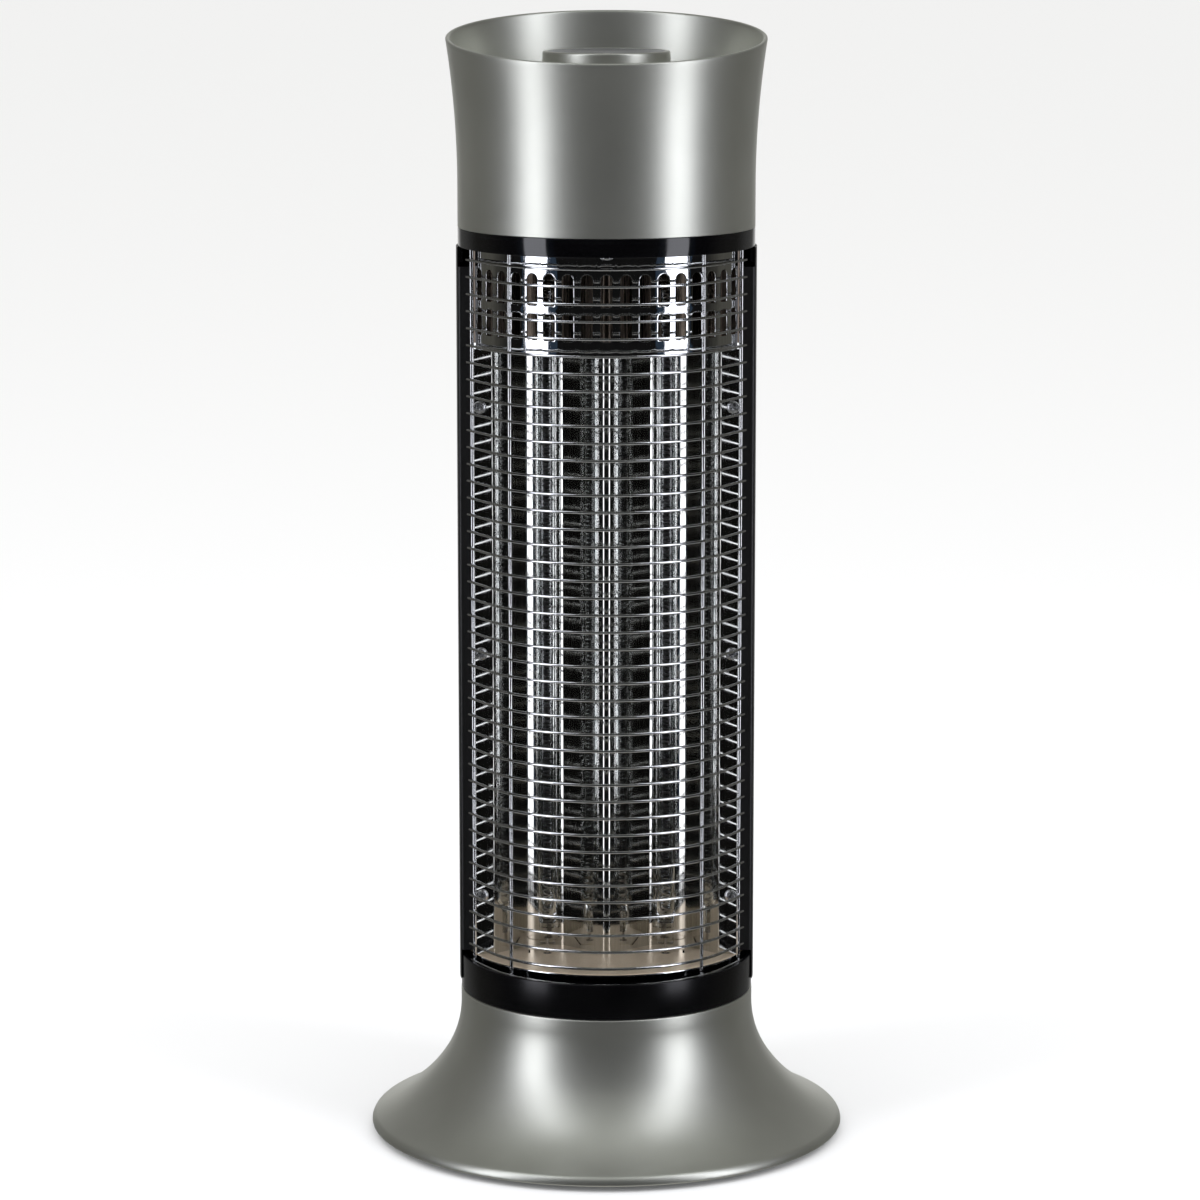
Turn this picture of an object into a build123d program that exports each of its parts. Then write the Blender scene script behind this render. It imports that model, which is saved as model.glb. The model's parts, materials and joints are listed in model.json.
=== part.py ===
from build123d import *
from math import acos, asin, atan2, cos, degrees, floor, hypot, pi, radians, sin, sqrt, tan
import os

# Oscillating carbon heater: a flared base, a tower with two quartz lamps behind a wire guard,
# and a flared head with a knob in its bowl. Millimetres, +Z up, the front faces -Y, and the
# origin is on the floor under the axis about which the tower swings.

os.makedirs("parts", exist_ok=True)

# Base shell
base_r = 127.7
neck_over = 0.2
neck_top = 78.5
flare_top = 71.0
flare_r1 = 57.0
flare_turn = 33.0
rim_z = 7.13
shell_wall = 2.8
rim_round = 4.5
lip_round = 1.0
lip_flat = 0.05
neck_round = 0.8
foot_h = 3.0
foot_r = 9.0
foot_in = 29.7
foot_count = 5

# Base plate and its screws
base_plate_t = 1.5
base_plate_gap = 0.5
plate_boss_r = 4.5
plate_boss_in = 21.7
plate_boss_count = 5

# Deck, bearing and swing
deck_t = 3.0
boss_h = 9.5
boss_wall = 5.0
hub_r = 16.0
hub_bore_r = 11.0
run_fit = 0.05
washer_t = 1.5
washer_wall = 7.0
shoulder_over = 1.0
swing_range = 35.0

# Swing gear and drive
gear_module = 1.5
gear_teeth = 56
pinion_teeth = 14
pressure_angle = 25.0
gear_backlash = 0.25
gear_t = 6.0
gear_gap = 0.3
pinion_margin = 0.4
stop_r = 3.0
stop_ring_r = 30.0
stop_gap = 0.4
motor_r = 25.0
motor_h = 17.0
motor_shaft_r = 2.0
motor_shaft_offset = 8.5
motor_top_gap = 1.7
motor_ear_reach = 31.0
motor_ear_r = 5.0
motor_ear_t = 1.5

# Screws: shank radius, head radius and head height of the two kinds
screw_r = 1.5
screw_head_r = 3.4
screw_head_h = 2.2
screw_len = 9.0
screw_clear = 0.05
small_screw_r = 1.3
small_screw_head_r = 2.6
small_screw_head_h = 1.6
small_screw_len = 6.0
recess_w = 0.9

# Tilt switch
tilt_x = 55.0
tilt_y = -45.0
plunger_r = 3.6
plunger_collar_r = 6.0
plunger_collar_t = 2.2
tilt_travel = 6.0
tilt_pin_r = 1.8
spring_r = 4.3
spring_wire_r = 0.45
spring_turns = 5
guide_wall = 2.5
guide_h = 20.0
guide_top_t = 2.0
tilt_switch_l = 20.0
tilt_switch_w = 6.5
tilt_switch_h = 10.0
tilt_gap = 0.3

# Mains entry
gland_z = 13.5
gland_r = 5.2
cord_bore_r = 3.6
gland_flange_r = 7.0
gland_flange_t = 2.0
gland_in = 16.8
gland_tail = 12.0
clamp_l = 26.0
clamp_w = 9.0
clamp_h = 7.0
block_l = 30.0
block_w = 16.0
block_h = 13.0
block_back = 27.0

# Tower rings
ring_in = 0.9
ring_wall = 2.2
seam_gap = 0.4
lower_ring_h = 17.5
ring_floor_t = 3.0
ring_floor_up = 10.6
upper_band_h = 9.7
upper_deck_t = 3.0
upper_deck_up = 0.7
upper_deck_r = 60.0
spigot_h = 8.0
guard_socket = 1.8

# Rear housing
housing_r = 79.5
housing_t = 0.8
housing_up = 5.4
housing_len = 395.7
housing_gap = 0.3
housing_bend = 2.0
lip_y = -13.4
lip_in = 15.5
lip_end_gap = 2.6
vent_count = 9
vent_w = 3.0
vent_pitch = 6.0
vent_h = 26.0
vent_low = 40.0
vent_high = 345.0

# Reflector and chamber sheets
sheet_t = 0.6
flange_in = 7.9
fold_in = 17.1
trough_depth = 16.9
chamber_up = 8.8
panel_in = 2.0
panel_y = 19.4
panel_drop = 54.4
plate_lip_drop = 8.8
panel_back_y = 28.0
chamber_in = 5.5
panel_screw_in = 17.5
panel_screw_y = 18.0
panel_boss_r = 3.5
slot_turn = 7.5
slot_each_side = 8
slot_w = 6.2
slot_upper_low = 26.3
slot_upper_high = 43.1
slot_lower_low = 8.3
slot_lower_high = 22.1
slot_corner = 1.0
flange_screw_z = (130.5, 263.0, 395.5)
flange_screw_in = 12.6

# Wire guard
guard_in = 7.5
guard_turn = 60.0
guard_tail = 22.0
guard_tail_upright = 20.4
guard_wire_r = 0.75
guard_upright_r = 1.0
guard_touch = 0.02
guard_pitch = 9.0
guard_first_up = 6.3
guard_top_room = 6.0
guard_inner_turn = 46.0

# Quartz lamps
lamp_out = 0.7
lamp_y = -12.0
lamp_r = 5.0
lamp_wall = 1.0
pinch_w = 8.6
pinch_t = 3.2
pinch_h = 11.0
pinch_up = 5.5
lamp_seal = 3.5
lead_pin_r = 0.8
lead_pin_len = 13.0
slit_l = 20.6
slit_w = 1.0
slit_leg = 7.4
slit_back = 7.0
bush_neck_r = 2.35
bush_r = 4.5
bush_h = 3.0
bush_sink = 0.2
element_r = 2.7
element_wire_r = 0.5
element_turns = 30
lamp_spring_wire_r = 0.42
lamp_spring_turns = 4
lamp_spring_h = 18.0
coil_tail = 1.2

# Head, bowl and knob
head_h = 112.0
head_straight = 22.0
head_flare_r = 496.0
head_wall = 2.4
head_round = 1.0
bowl_floor_up = 62.0
bowl_floor_t = 2.6
bowl_round = 8.0
rim_mid_up = 99.3
rim_slope = 7.1
head_boss_r = 5.0
head_boss_in = 8.0
head_boss_h = 36.0
knob_r = 33.6
knob_draft = 0.5
knob_up = 1.0
knob_h = 29.0
knob_wall = 2.5
knob_top_t = 3.5
knob_round = 1.2
knob_boss_r = 6.5
cap_r = 31.0
cap_t = 1.2
cap_gap = 0.15
pointer_r = 1.9
switch_shaft_r = 3.0
switch_shaft_flat = 2.2
switch_bush_r = 5.0
switch_bush_up = 6.0
switch_l = 32.0
switch_h = 19.0
switch_nut_r = 7.5
switch_nut_h = 2.5
switch_shaft_reach = 19.0
shaft_in = 10.0

# Thermal cut-out and leads
cutout_y = 12.0
cutout_r = 8.0
cutout_h = 8.0
cutout_base_l = 34.0
cutout_base_w = 8.0
cutout_base_t = 1.0
rivet_r = 1.5
rivet_head_r = 2.6
rivet_head_h = 1.0
harness_r = 2.0
harness_bend = 12.0
harness_back_y = 50.0
harness_over = 4.0
lead_r = 1.2
lead_bend = 8.0

# Radii and heights that follow from the sizes above
ring_r = housing_r - ring_in
neck_r = ring_r + neck_over
guard_r = housing_r - guard_in
lip_inner_x = housing_r - lip_in
flange_x = housing_r - flange_in
fold_x = housing_r - fold_in
flange_screw_x = housing_r - flange_screw_in
panel_r = housing_r - panel_in
chamber_r = housing_r - chamber_in
panel_screw_x = housing_r - panel_screw_in
head_boss_ring_r = housing_r - head_boss_in
foot_ring_r = base_r - foot_in
plate_boss_ring_r = base_r - plate_boss_in
lamp_x = fold_x / 2 + lamp_out
deck_bottom = neck_top - deck_t
boss_bottom = deck_bottom - boss_h
boss_r = hub_r + boss_wall
base_plate_top = foot_h + base_plate_t
base_plate_r = base_r - shell_wall - base_plate_gap
washer_in_r = hub_r + shoulder_over
washer_out_r = washer_in_r + washer_wall
gear_top = boss_bottom - gear_gap
gear_bottom = gear_top - gear_t
pinion_x = -gear_module * (gear_teeth + pinion_teeth) / 2
motor_x = pinion_x + motor_shaft_offset
motor_top = gear_bottom - motor_top_gap
ring_bottom = neck_top + seam_gap
ring_top = ring_bottom + lower_ring_h
ring_floor = ring_bottom + ring_floor_up
ring_inner_r = ring_r - ring_wall
housing_bottom = ring_bottom + housing_up
housing_top = housing_bottom + housing_len
band_bottom = housing_top + housing_gap
band_top = band_bottom + upper_band_h
deck2_bottom = band_bottom + upper_deck_up
deck2_top = deck2_bottom + upper_deck_t
chamber_floor = ring_floor + chamber_up
chamber_top = deck2_bottom - sheet_t
panel_bottom = chamber_top + sheet_t - panel_drop
flange_y = lip_y - sheet_t
guard_first = ring_floor + guard_first_up
guard_count = floor((deck2_bottom - guard_top_room - guard_first) / guard_pitch) + 1
head_top = band_top + head_h
bowl_floor = band_top + bowl_floor_up
knob_bottom = bowl_floor + knob_up
knob_top = knob_bottom + knob_h
guide_bottom = base_plate_top
collar_bottom = guide_bottom + tilt_gap + tilt_travel
collar_top = collar_bottom + plunger_collar_t
guide_top = guide_bottom + guide_h

# The flare's two arcs in the radius-height plane: the second one ends on the rim
flare_c1 = (neck_r + flare_r1, flare_top)
rim_x = base_r - flare_c1[0]
rim_down = rim_z - flare_c1[1]
rim_along = rim_x * cos(radians(flare_turn)) + rim_down * sin(radians(flare_turn))
flare_r2 = (rim_x**2 + rim_down**2 + flare_r1 * (2 * rim_along + flare_r1)) / (
    2 * (rim_along + flare_r1)
)
flare_c2 = (
    flare_c1[0] + (flare_r2 - flare_r1) * cos(radians(flare_turn)),
    flare_c1[1] + (flare_r2 - flare_r1) * sin(radians(flare_turn)),
)


def finish(piece, name):
    """Label a piece and write its file."""
    piece.part.label = name
    export_step(piece.part, f"parts/{name}.step")


def flare_end(depth):
    """Degrees turned by the flare where it reaches the rim, at a depth under the surface."""
    return degrees(acos((flare_c2[0] - base_r + depth) / (flare_r2 + depth)))


def flare_outline(depth, bottom, top):
    """Right half of the base's section at a depth under its surface."""
    with BuildLine() as outline:
        neck = Line((neck_r - depth, top), (neck_r - depth, flare_top))
        CenterArc(flare_c1, flare_r1 + depth, 180, flare_turn)
        lower = CenterArc(
            flare_c2, flare_r2 + depth, 180 + flare_turn, flare_end(depth) - flare_turn
        )
        Polyline(lower @ 1, (base_r - depth, bottom), (0, bottom), (0, top), neck @ 0)
    return outline


def pan_screw(shank_r, head_r, head_h, shank_len):
    """A cross-head screw: the head stands on z = 0 and the shank runs down from it."""
    with BuildPart() as screw:
        with BuildSketch():
            Circle(head_r)
        extrude(amount=head_h)
        fillet(screw.edges().sort_by(Axis.Z)[-1], head_h * 0.55)
        with BuildSketch():
            Circle(shank_r)
        extrude(amount=-shank_len)
        chamfer(screw.edges().sort_by(Axis.Z)[0], shank_r * 0.4)
        with BuildSketch(Plane.XY.offset(head_h)):
            Rectangle(head_r, recess_w)
            Rectangle(recess_w, head_r)
        extrude(amount=-head_h * 0.6, mode=Mode.SUBTRACT)
    return screw.part


def wire_along(points, bends, wire_r):
    """A round wire or lead along straight runs that are joined by tangent arcs."""
    with BuildPart() as wire:
        with BuildLine() as path:
            if len(points) > 2:
                FilletPolyline(*points, radius=bends)
            else:
                Line(*points)
        with BuildSketch(Plane(origin=path.wire() @ 0, z_dir=path.wire() % 0)):
            Circle(wire_r)
        sweep(path=path.wire())
    return wire.part


def biarc(start, start_way, end, end_way):
    """Two tangent arcs from start to end that leave and arrive along the given ways."""
    chord = end - start
    ways = start_way + end_way
    bend = 2 * (1 - start_way.dot(end_way))
    along = chord.dot(ways)
    if bend < 1e-9:
        reach = chord.dot(chord) / (2 * along)
    else:
        reach = (-along + sqrt(along**2 + bend * chord.dot(chord))) / bend
    middle = (start + end + (start_way - end_way) * reach) / 2
    middle_way = (end - end_way * reach - start - start_way * reach).normalized()
    TangentArc(start, middle, tangent=start_way)
    TangentArc(middle, end, tangent=middle_way)


def coil(coil_r, wire_r, low, high, turns):
    """A wound wire about the Z axis with a short upright tail at each end."""
    steps = 4 * turns
    climb = (high - low - 2 * coil_tail) / steps
    points = [Vector(coil_r, 0, low + coil_tail)]
    ways = [Vector(0, 0, 1)]
    for step in range(1, steps):
        turn = step * pi / 2
        points.append(
            Vector(coil_r * cos(turn), coil_r * sin(turn), low + coil_tail + climb * step)
        )
        ways.append(
            Vector(-coil_r * sin(turn), coil_r * cos(turn), climb * 2 / pi).normalized()
        )
    points.append(Vector(coil_r, 0, high - coil_tail))
    ways.append(Vector(0, 0, 1))
    with BuildPart() as wound:
        with BuildLine() as path:
            Line((coil_r, 0, low), points[0])
            for step in range(steps):
                biarc(points[step], ways[step], points[step + 1], ways[step + 1])
            Line(points[-1], (coil_r, 0, high))
        with BuildSketch(Plane(origin=(coil_r, 0, low), z_dir=(0, 0, 1))):
            Circle(wire_r)
        sweep(path=path.wire())
    gap = min(
        (points[far] - points[near]).length
        for near in range(steps)
        for far in range(near + 3, steps + 1)
    )
    print("coil of", turns, "turns: least gap between turns", round(gap - 2 * wire_r, 2))
    return wound.part


def gear_tooth(teeth, turn):
    """Outline of one involute tooth that points along a direction given in degrees."""
    pitch_r = gear_module * teeth / 2
    involute_r = pitch_r * cos(radians(pressure_angle))
    root_r = pitch_r - 1.25 * gear_module
    low_r = max(involute_r, root_r)
    tip_r = pitch_r + gear_module
    half = (pi * gear_module / 2 - gear_backlash / 2) / (2 * pitch_r)
    start = tan(radians(pressure_angle)) - radians(pressure_angle)
    flank = [(root_r - 0.6, half + start)]
    for step in range(6):
        at_r = low_r + (tip_r - low_r) * step / 5
        roll = acos(min(1.0, involute_r / at_r))
        flank.append((at_r, half + start - tan(roll) + roll))
    outline = [(r, radians(turn) - wide) for r, wide in flank]
    outline += [(r, radians(turn) + wide) for r, wide in reversed(flank)]
    return [(r * cos(turn), r * sin(turn)) for r, turn in outline]


def add_teeth(teeth, turns):
    """Teeth of a gear, drawn at the given turns in the current sketch."""
    for turn in turns:
        Polygon(*gear_tooth(teeth, turn), align=None)


def ring_spots(radius, count, first=0.0):
    """Points spaced evenly round the axis."""
    return [
        (
            radius * cos(radians(first + 360 * step / count)),
            radius * sin(radians(first + 360 * step / count)),
        )
        for step in range(count)
    ]


# Base shell: the trumpet, its deck, the bearing boss, the posts and the stop peg
gland_mouth_y = flare_c2[0] - sqrt(flare_r2**2 - (flare_c2[1] - gland_z) ** 2)
plate_screw_spots = ring_spots(plate_boss_ring_r, plate_boss_count, 90 + 180 / plate_boss_count)
motor_screw_spots = [(motor_x, -motor_ear_reach), (motor_x, motor_ear_reach)]

with BuildPart() as plate_bosses:
    with BuildSketch(Plane.XY.offset(base_plate_top)):
        with Locations(*plate_screw_spots):
            Circle(plate_boss_r)
    extrude(amount=deck_bottom - base_plate_top)
    with BuildSketch(Plane.XZ):
        add(flare_outline(shell_wall / 2, base_plate_top, deck_bottom))
        make_face()
    revolve(axis=Axis.Z, mode=Mode.INTERSECT)

with BuildPart() as base_shell:
    with BuildSketch(Plane.XZ) as section:
        add(flare_outline(0, foot_h, neck_top))
        make_face()
        rim_corner_z = flare_c2[1] - flare_r2 * sin(radians(flare_end(0)))
        rim_room = rim_corner_z - foot_h - lip_round - lip_flat
        rim_fits = rim_room / tan(radians(flare_end(0) / 2))
        corners = section.vertices()
        fillet(corners.sort_by_distance((base_r, rim_corner_z))[0], min(rim_round, rim_fits))
        fillet(section.vertices().sort_by_distance((base_r, foot_h))[0], lip_round)
        fillet(section.vertices().sort_by_distance((neck_r, neck_top))[0], neck_round)
    revolve(axis=Axis.Z)
    with BuildSketch(Plane.XZ):
        add(flare_outline(shell_wall, foot_h - 1, deck_bottom))
        make_face()
    revolve(axis=Axis.Z, mode=Mode.SUBTRACT)
    add(plate_bosses.part)
    with BuildSketch(Plane.XY.offset(boss_bottom)):
        Circle(boss_r)
    extrude(amount=boss_h)
    with BuildSketch(Plane.XY.offset(motor_top)):
        with Locations(*motor_screw_spots):
            Circle(motor_ear_r)
    extrude(amount=deck_bottom - motor_top)
    with BuildSketch(Plane.XY.offset(gear_bottom - 1)):
        with Locations((stop_ring_r, 0)):
            Circle(stop_r)
    extrude(amount=deck_bottom - gear_bottom + 1)
    with BuildSketch(Plane.XY.offset(boss_bottom)):
        Circle(hub_r + run_fit)
    extrude(amount=neck_top - boss_bottom, mode=Mode.SUBTRACT)
    with BuildSketch(Plane.XY.offset(motor_top)):
        with Locations(*motor_screw_spots):
            Circle(screw_r + screw_clear)
    extrude(amount=screw_len, mode=Mode.SUBTRACT)
    with BuildSketch(Plane.XY.offset(base_plate_top)):
        with Locations(*plate_screw_spots):
            Circle(screw_r + screw_clear)
    extrude(amount=screw_len, mode=Mode.SUBTRACT)
    with BuildSketch(Plane.XZ.offset(-gland_mouth_y + gland_in)):
        with Locations((0, gland_z)):
            Circle(gland_r + screw_clear)
    extrude(amount=-2 * gland_in, mode=Mode.SUBTRACT)
finish(base_shell, "base_shell")

# Base plate with its holes, the screws that hold it, and the feet under it
with BuildPart() as base_plate:
    with BuildSketch(Plane.XY.offset(foot_h)):
        Circle(base_plate_r)
        with Locations(*plate_screw_spots):
            Circle(screw_r + 2 * screw_clear, mode=Mode.SUBTRACT)
        with Locations((tilt_x, tilt_y)):
            Circle(plunger_r + tilt_gap, mode=Mode.SUBTRACT)
    extrude(amount=base_plate_t)
finish(base_plate, "base_plate")

screw = pan_screw(screw_r, screw_head_r, screw_head_h, screw_len)
with BuildPart() as base_plate_screws:
    with Locations(*[Location((x, y, foot_h), (180, 0, 0)) for x, y in plate_screw_spots]):
        add(screw)
finish(base_plate_screws, "base_plate_screws")

with BuildPart() as rubber_feet:
    with BuildSketch():
        with Locations(*ring_spots(foot_ring_r, foot_count, 90)):
            Circle(foot_r)
    extrude(amount=foot_h)
    chamfer(rubber_feet.edges().group_by(Axis.Z)[0], foot_h / 4)
finish(rubber_feet, "rubber_feet")

# Tilt plunger with its collar, the guide round it, and the switch on the guide
with BuildPart() as tilt_plunger:
    with BuildSketch():
        with Locations((tilt_x, tilt_y)):
            Circle(plunger_r)
    extrude(amount=collar_bottom)
    fillet(tilt_plunger.edges().sort_by(Axis.Z)[0], plunger_r / 3)
    with BuildSketch(Plane.XY.offset(collar_bottom)):
        with Locations((tilt_x, tilt_y)):
            Circle(plunger_collar_r)
    extrude(amount=plunger_collar_t)
    with BuildSketch(Plane.XY.offset(collar_top)):
        with Locations((tilt_x, tilt_y)):
            Circle(tilt_pin_r)
    extrude(amount=guide_top + tilt_gap - collar_top)
finish(tilt_plunger, "tilt_plunger")

guide_r = plunger_collar_r + tilt_gap + guide_wall
with BuildPart() as tilt_guide:
    with BuildSketch(Plane.XY.offset(guide_bottom)):
        with Locations((tilt_x, tilt_y)):
            Circle(guide_r)
    extrude(amount=guide_h)
    with BuildSketch(Plane.XY.offset(guide_bottom)):
        with Locations((tilt_x, tilt_y)):
            Circle(plunger_collar_r + tilt_gap)
    extrude(amount=guide_h - guide_top_t, mode=Mode.SUBTRACT)
    with BuildSketch(Plane.XY.offset(guide_bottom)):
        with Locations((tilt_x, tilt_y)):
            Circle(tilt_pin_r + tilt_gap)
    extrude(amount=guide_h, mode=Mode.SUBTRACT)
    with BuildSketch(Plane.XY.offset(guide_top)):
        with Locations((tilt_x, tilt_y + tilt_switch_w / 2 + 1)):
            Rectangle(tilt_switch_l * 0.7, 2)
    extrude(amount=tilt_switch_h)
finish(tilt_guide, "tilt_guide")

with BuildPart() as tilt_switch:
    with BuildSketch(Plane.XY.offset(guide_top + 2 * tilt_gap)):
        with Locations((tilt_x, tilt_y)):
            Rectangle(tilt_switch_l, tilt_switch_w)
    extrude(amount=tilt_switch_h)
    with BuildSketch(Plane.XY.offset(guide_top + 2 * tilt_gap + tilt_switch_h)):
        with Locations((tilt_x, tilt_y)):
            with GridLocations(tilt_switch_l / 3, 1, 3, 1):
                Rectangle(0.8, 3.2)
    extrude(amount=4)
finish(tilt_switch, "tilt_switch")

tilt_spring_coil = coil(spring_r, spring_wire_r, collar_top, guide_top - guide_top_t, spring_turns)
with BuildPart() as tilt_spring:
    with Locations((tilt_x, tilt_y)):
        add(tilt_spring_coil)
finish(tilt_spring, "tilt_spring")

# Mains entry at the back: the gland in the shell, the clamp and the terminal block
with BuildPart() as cord_gland:
    with BuildSketch(Plane.XZ.offset(-gland_mouth_y - gland_tail)):
        with Locations((0, gland_z)):
            Circle(gland_r)
    extrude(amount=gland_tail + gland_in)
    with BuildSketch(Plane.XZ.offset(-gland_mouth_y + gland_in)):
        with Locations((0, gland_z)):
            Circle(gland_flange_r)
    extrude(amount=-gland_flange_t)
    with BuildSketch(Plane.XZ.offset(-gland_mouth_y - gland_tail)):
        with Locations((0, gland_z)):
            Circle(cord_bore_r)
    extrude(amount=gland_tail + gland_in, mode=Mode.SUBTRACT)
finish(cord_gland, "cord_gland")

clamp_y = gland_mouth_y - gland_in - clamp_w
block_y = clamp_y - block_back
clamp_screw_spots = [(-clamp_l / 3, clamp_y), (clamp_l / 3, clamp_y)]
with BuildPart() as cord_clamp:
    with BuildSketch(Plane.XY.offset(base_plate_top)):
        with Locations((0, clamp_y)):
            Rectangle(clamp_l, clamp_w)
    extrude(amount=clamp_h)
    with BuildSketch(Plane.XZ.offset(-clamp_y - clamp_w / 2)):
        with Locations((0, base_plate_top)):
            Circle(cord_bore_r)
    extrude(amount=clamp_w, mode=Mode.SUBTRACT)
    with BuildSketch(Plane.XY.offset(base_plate_top)):
        with Locations(*clamp_screw_spots):
            Circle(small_screw_r + screw_clear)
    extrude(amount=clamp_h, mode=Mode.SUBTRACT)
finish(cord_clamp, "cord_clamp")

with BuildPart() as terminal_block:
    with BuildSketch(Plane.XY.offset(base_plate_top)):
        with Locations((0, block_y)):
            Rectangle(block_l, block_w)
    extrude(amount=block_h)
    chamfer(terminal_block.edges().group_by(Axis.Z)[-1], 1)
    with BuildSketch(Plane.XY.offset(base_plate_top + block_h)):
        with Locations((0, block_y)):
            with GridLocations(block_l / 3, block_w / 2, 3, 2):
                Circle(2)
    extrude(amount=-block_h / 2, mode=Mode.SUBTRACT)
finish(terminal_block, "terminal_block")

small_screw = pan_screw(
    small_screw_r, small_screw_head_r, small_screw_head_h, small_screw_len
)
with BuildPart() as clamp_screws:
    with Locations(*[(x, y, base_plate_top + clamp_h) for x, y in clamp_screw_spots]):
        add(small_screw)
finish(clamp_screws, "clamp_screws")

# Slip washer on the deck, under the hub's shoulder
with BuildPart() as slip_washer:
    with BuildSketch(Plane.XY.offset(neck_top)):
        Circle(washer_out_r)
        Circle(washer_in_r, mode=Mode.SUBTRACT)
    extrude(amount=washer_t)
finish(slip_washer, "slip_washer")

# Swing motor, its screws, its shaft and the pinion
with BuildPart() as swing_motor:
    with BuildSketch(Plane.XY.offset(motor_top - motor_h)):
        with Locations((motor_x, 0)):
            Circle(motor_r)
    extrude(amount=motor_h)
    fillet(swing_motor.edges().filter_by(GeomType.CIRCLE), 1.5)
    with BuildSketch(Plane.XY.offset(motor_top - motor_ear_t)):
        with Locations((motor_x, 0)):
            SlotCenterToCenter(2 * motor_ear_reach, 2 * motor_ear_r, rotation=90)
        with Locations(*motor_screw_spots):
            Circle(screw_r + 2 * screw_clear, mode=Mode.SUBTRACT)
    extrude(amount=motor_ear_t)
    with BuildSketch(Plane.XY.offset(motor_top)):
        with Locations((pinion_x, 0)):
            Circle(motor_shaft_r + run_fit)
    extrude(amount=-motor_h / 2, mode=Mode.SUBTRACT)
finish(swing_motor, "swing_motor")

with BuildPart() as motor_screws:
    with Locations(
        *[Location((x, y, motor_top - motor_ear_t), (180, 0, 0)) for x, y in motor_screw_spots]
    ):
        add(screw)
finish(motor_screws, "motor_screws")

with BuildPart() as motor_shaft:
    with BuildSketch(Plane.XY.offset(motor_top - motor_h / 2)):
        with Locations((pinion_x, 0)):
            Circle(motor_shaft_r)
    extrude(amount=gear_top - motor_top + motor_h / 2)
finish(motor_shaft, "motor_shaft")

pinion_step = 360 / pinion_teeth
with BuildPart() as drive_pinion:
    with BuildSketch(Plane.XY.offset(gear_bottom + pinion_margin)):
        Circle(gear_module * (pinion_teeth / 2 - 1.25))
        add_teeth(pinion_teeth, [pinion_step * (step + 0.5) for step in range(pinion_teeth)])
        Circle(motor_shaft_r + screw_clear, mode=Mode.SUBTRACT)
    extrude(amount=gear_t - 2 * pinion_margin)
drive_pinion.part = drive_pinion.part.moved(Location((pinion_x, 0, 0)))
finish(drive_pinion, "drive_pinion")

# Lower ring: the collar, its floor and the hub that turns in the base
panel_screw_spots = [(-panel_screw_x, panel_screw_y), (panel_screw_x, panel_screw_y)]
gear_screw_spots = ring_spots((hub_r + hub_bore_r) / 2, 3, 90)
guard_upright_out = guard_wire_r + guard_upright_r + guard_touch
upright_ring_r = guard_r - guard_upright_out
turn = radians(guard_turn)
outer_upright = (
    guard_r * sin(turn) + guard_tail_upright * cos(turn) - guard_upright_out * sin(turn),
    -guard_r * cos(turn) + guard_tail_upright * sin(turn) + guard_upright_out * cos(turn),
)
inner_upright = (
    upright_ring_r * sin(radians(guard_inner_turn)),
    -upright_ring_r * cos(radians(guard_inner_turn)),
)
upright_spots = [
    (side * x, y) for x, y in (outer_upright, inner_upright) for side in (-1, 1)
]
housing_screw_turns = (30, 90, 150)
lower_screw_z = ring_top - lower_ring_h / 5
upper_screw_z = band_bottom - spigot_h / 2


def radial_plane(turn, radius, height):
    """A plane on the tower's side whose normal points outwards."""
    way = (cos(radians(turn)), sin(radians(turn)), 0)
    return Plane(origin=(radius * way[0], radius * way[1], height), z_dir=way)


with BuildPart() as lower_ring:
    with BuildSketch(Plane.XY.offset(ring_bottom)):
        Circle(ring_r)
    extrude(amount=lower_ring_h)
    fillet(lower_ring.edges().group_by(Axis.Z)[-1], 0.6)
    with BuildSketch(Plane.XY.offset(ring_floor)):
        Circle(ring_inner_r)
    extrude(amount=lower_ring_h, mode=Mode.SUBTRACT)
    with BuildSketch(Plane.XY.offset(ring_bottom)):
        Circle(ring_inner_r)
    extrude(amount=ring_floor_up - ring_floor_t, mode=Mode.SUBTRACT)
    with BuildSketch(Plane.XY.offset(neck_top + washer_t)):
        Circle(washer_out_r)
    extrude(amount=ring_floor - neck_top - washer_t - ring_floor_t / 2)
    with BuildSketch(Plane.XY.offset(gear_top)):
        Circle(hub_r)
    extrude(amount=ring_floor - gear_top - ring_floor_t / 2)
    with BuildSketch(Plane.XY.offset(ring_floor)):
        with Locations(*panel_screw_spots):
            Circle(panel_boss_r)
    extrude(amount=chamber_up - sheet_t)
    with BuildSketch(Plane.XY.offset(gear_top)):
        Circle(hub_bore_r)
    extrude(amount=ring_floor - gear_top, mode=Mode.SUBTRACT)
    with BuildSketch(Plane.XY.offset(gear_top)):
        with Locations(*gear_screw_spots):
            Circle(small_screw_r + screw_clear)
    extrude(amount=small_screw_len, mode=Mode.SUBTRACT)
    with BuildSketch(Plane.XY.offset(chamber_floor - sheet_t)):
        with Locations(*panel_screw_spots):
            Circle(small_screw_r + screw_clear)
    extrude(amount=-small_screw_len, mode=Mode.SUBTRACT)
    with BuildSketch(Plane.XY.offset(ring_floor)):
        with Locations(*upright_spots):
            Circle(guard_upright_r + screw_clear)
    extrude(amount=-guard_socket, mode=Mode.SUBTRACT)
    for side in housing_screw_turns:
        with BuildSketch(radial_plane(side, ring_inner_r - 1, lower_screw_z)):
            Circle(small_screw_r + screw_clear)
        extrude(amount=ring_wall + 2, mode=Mode.SUBTRACT)
finish(lower_ring, "lower_ring")

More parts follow.
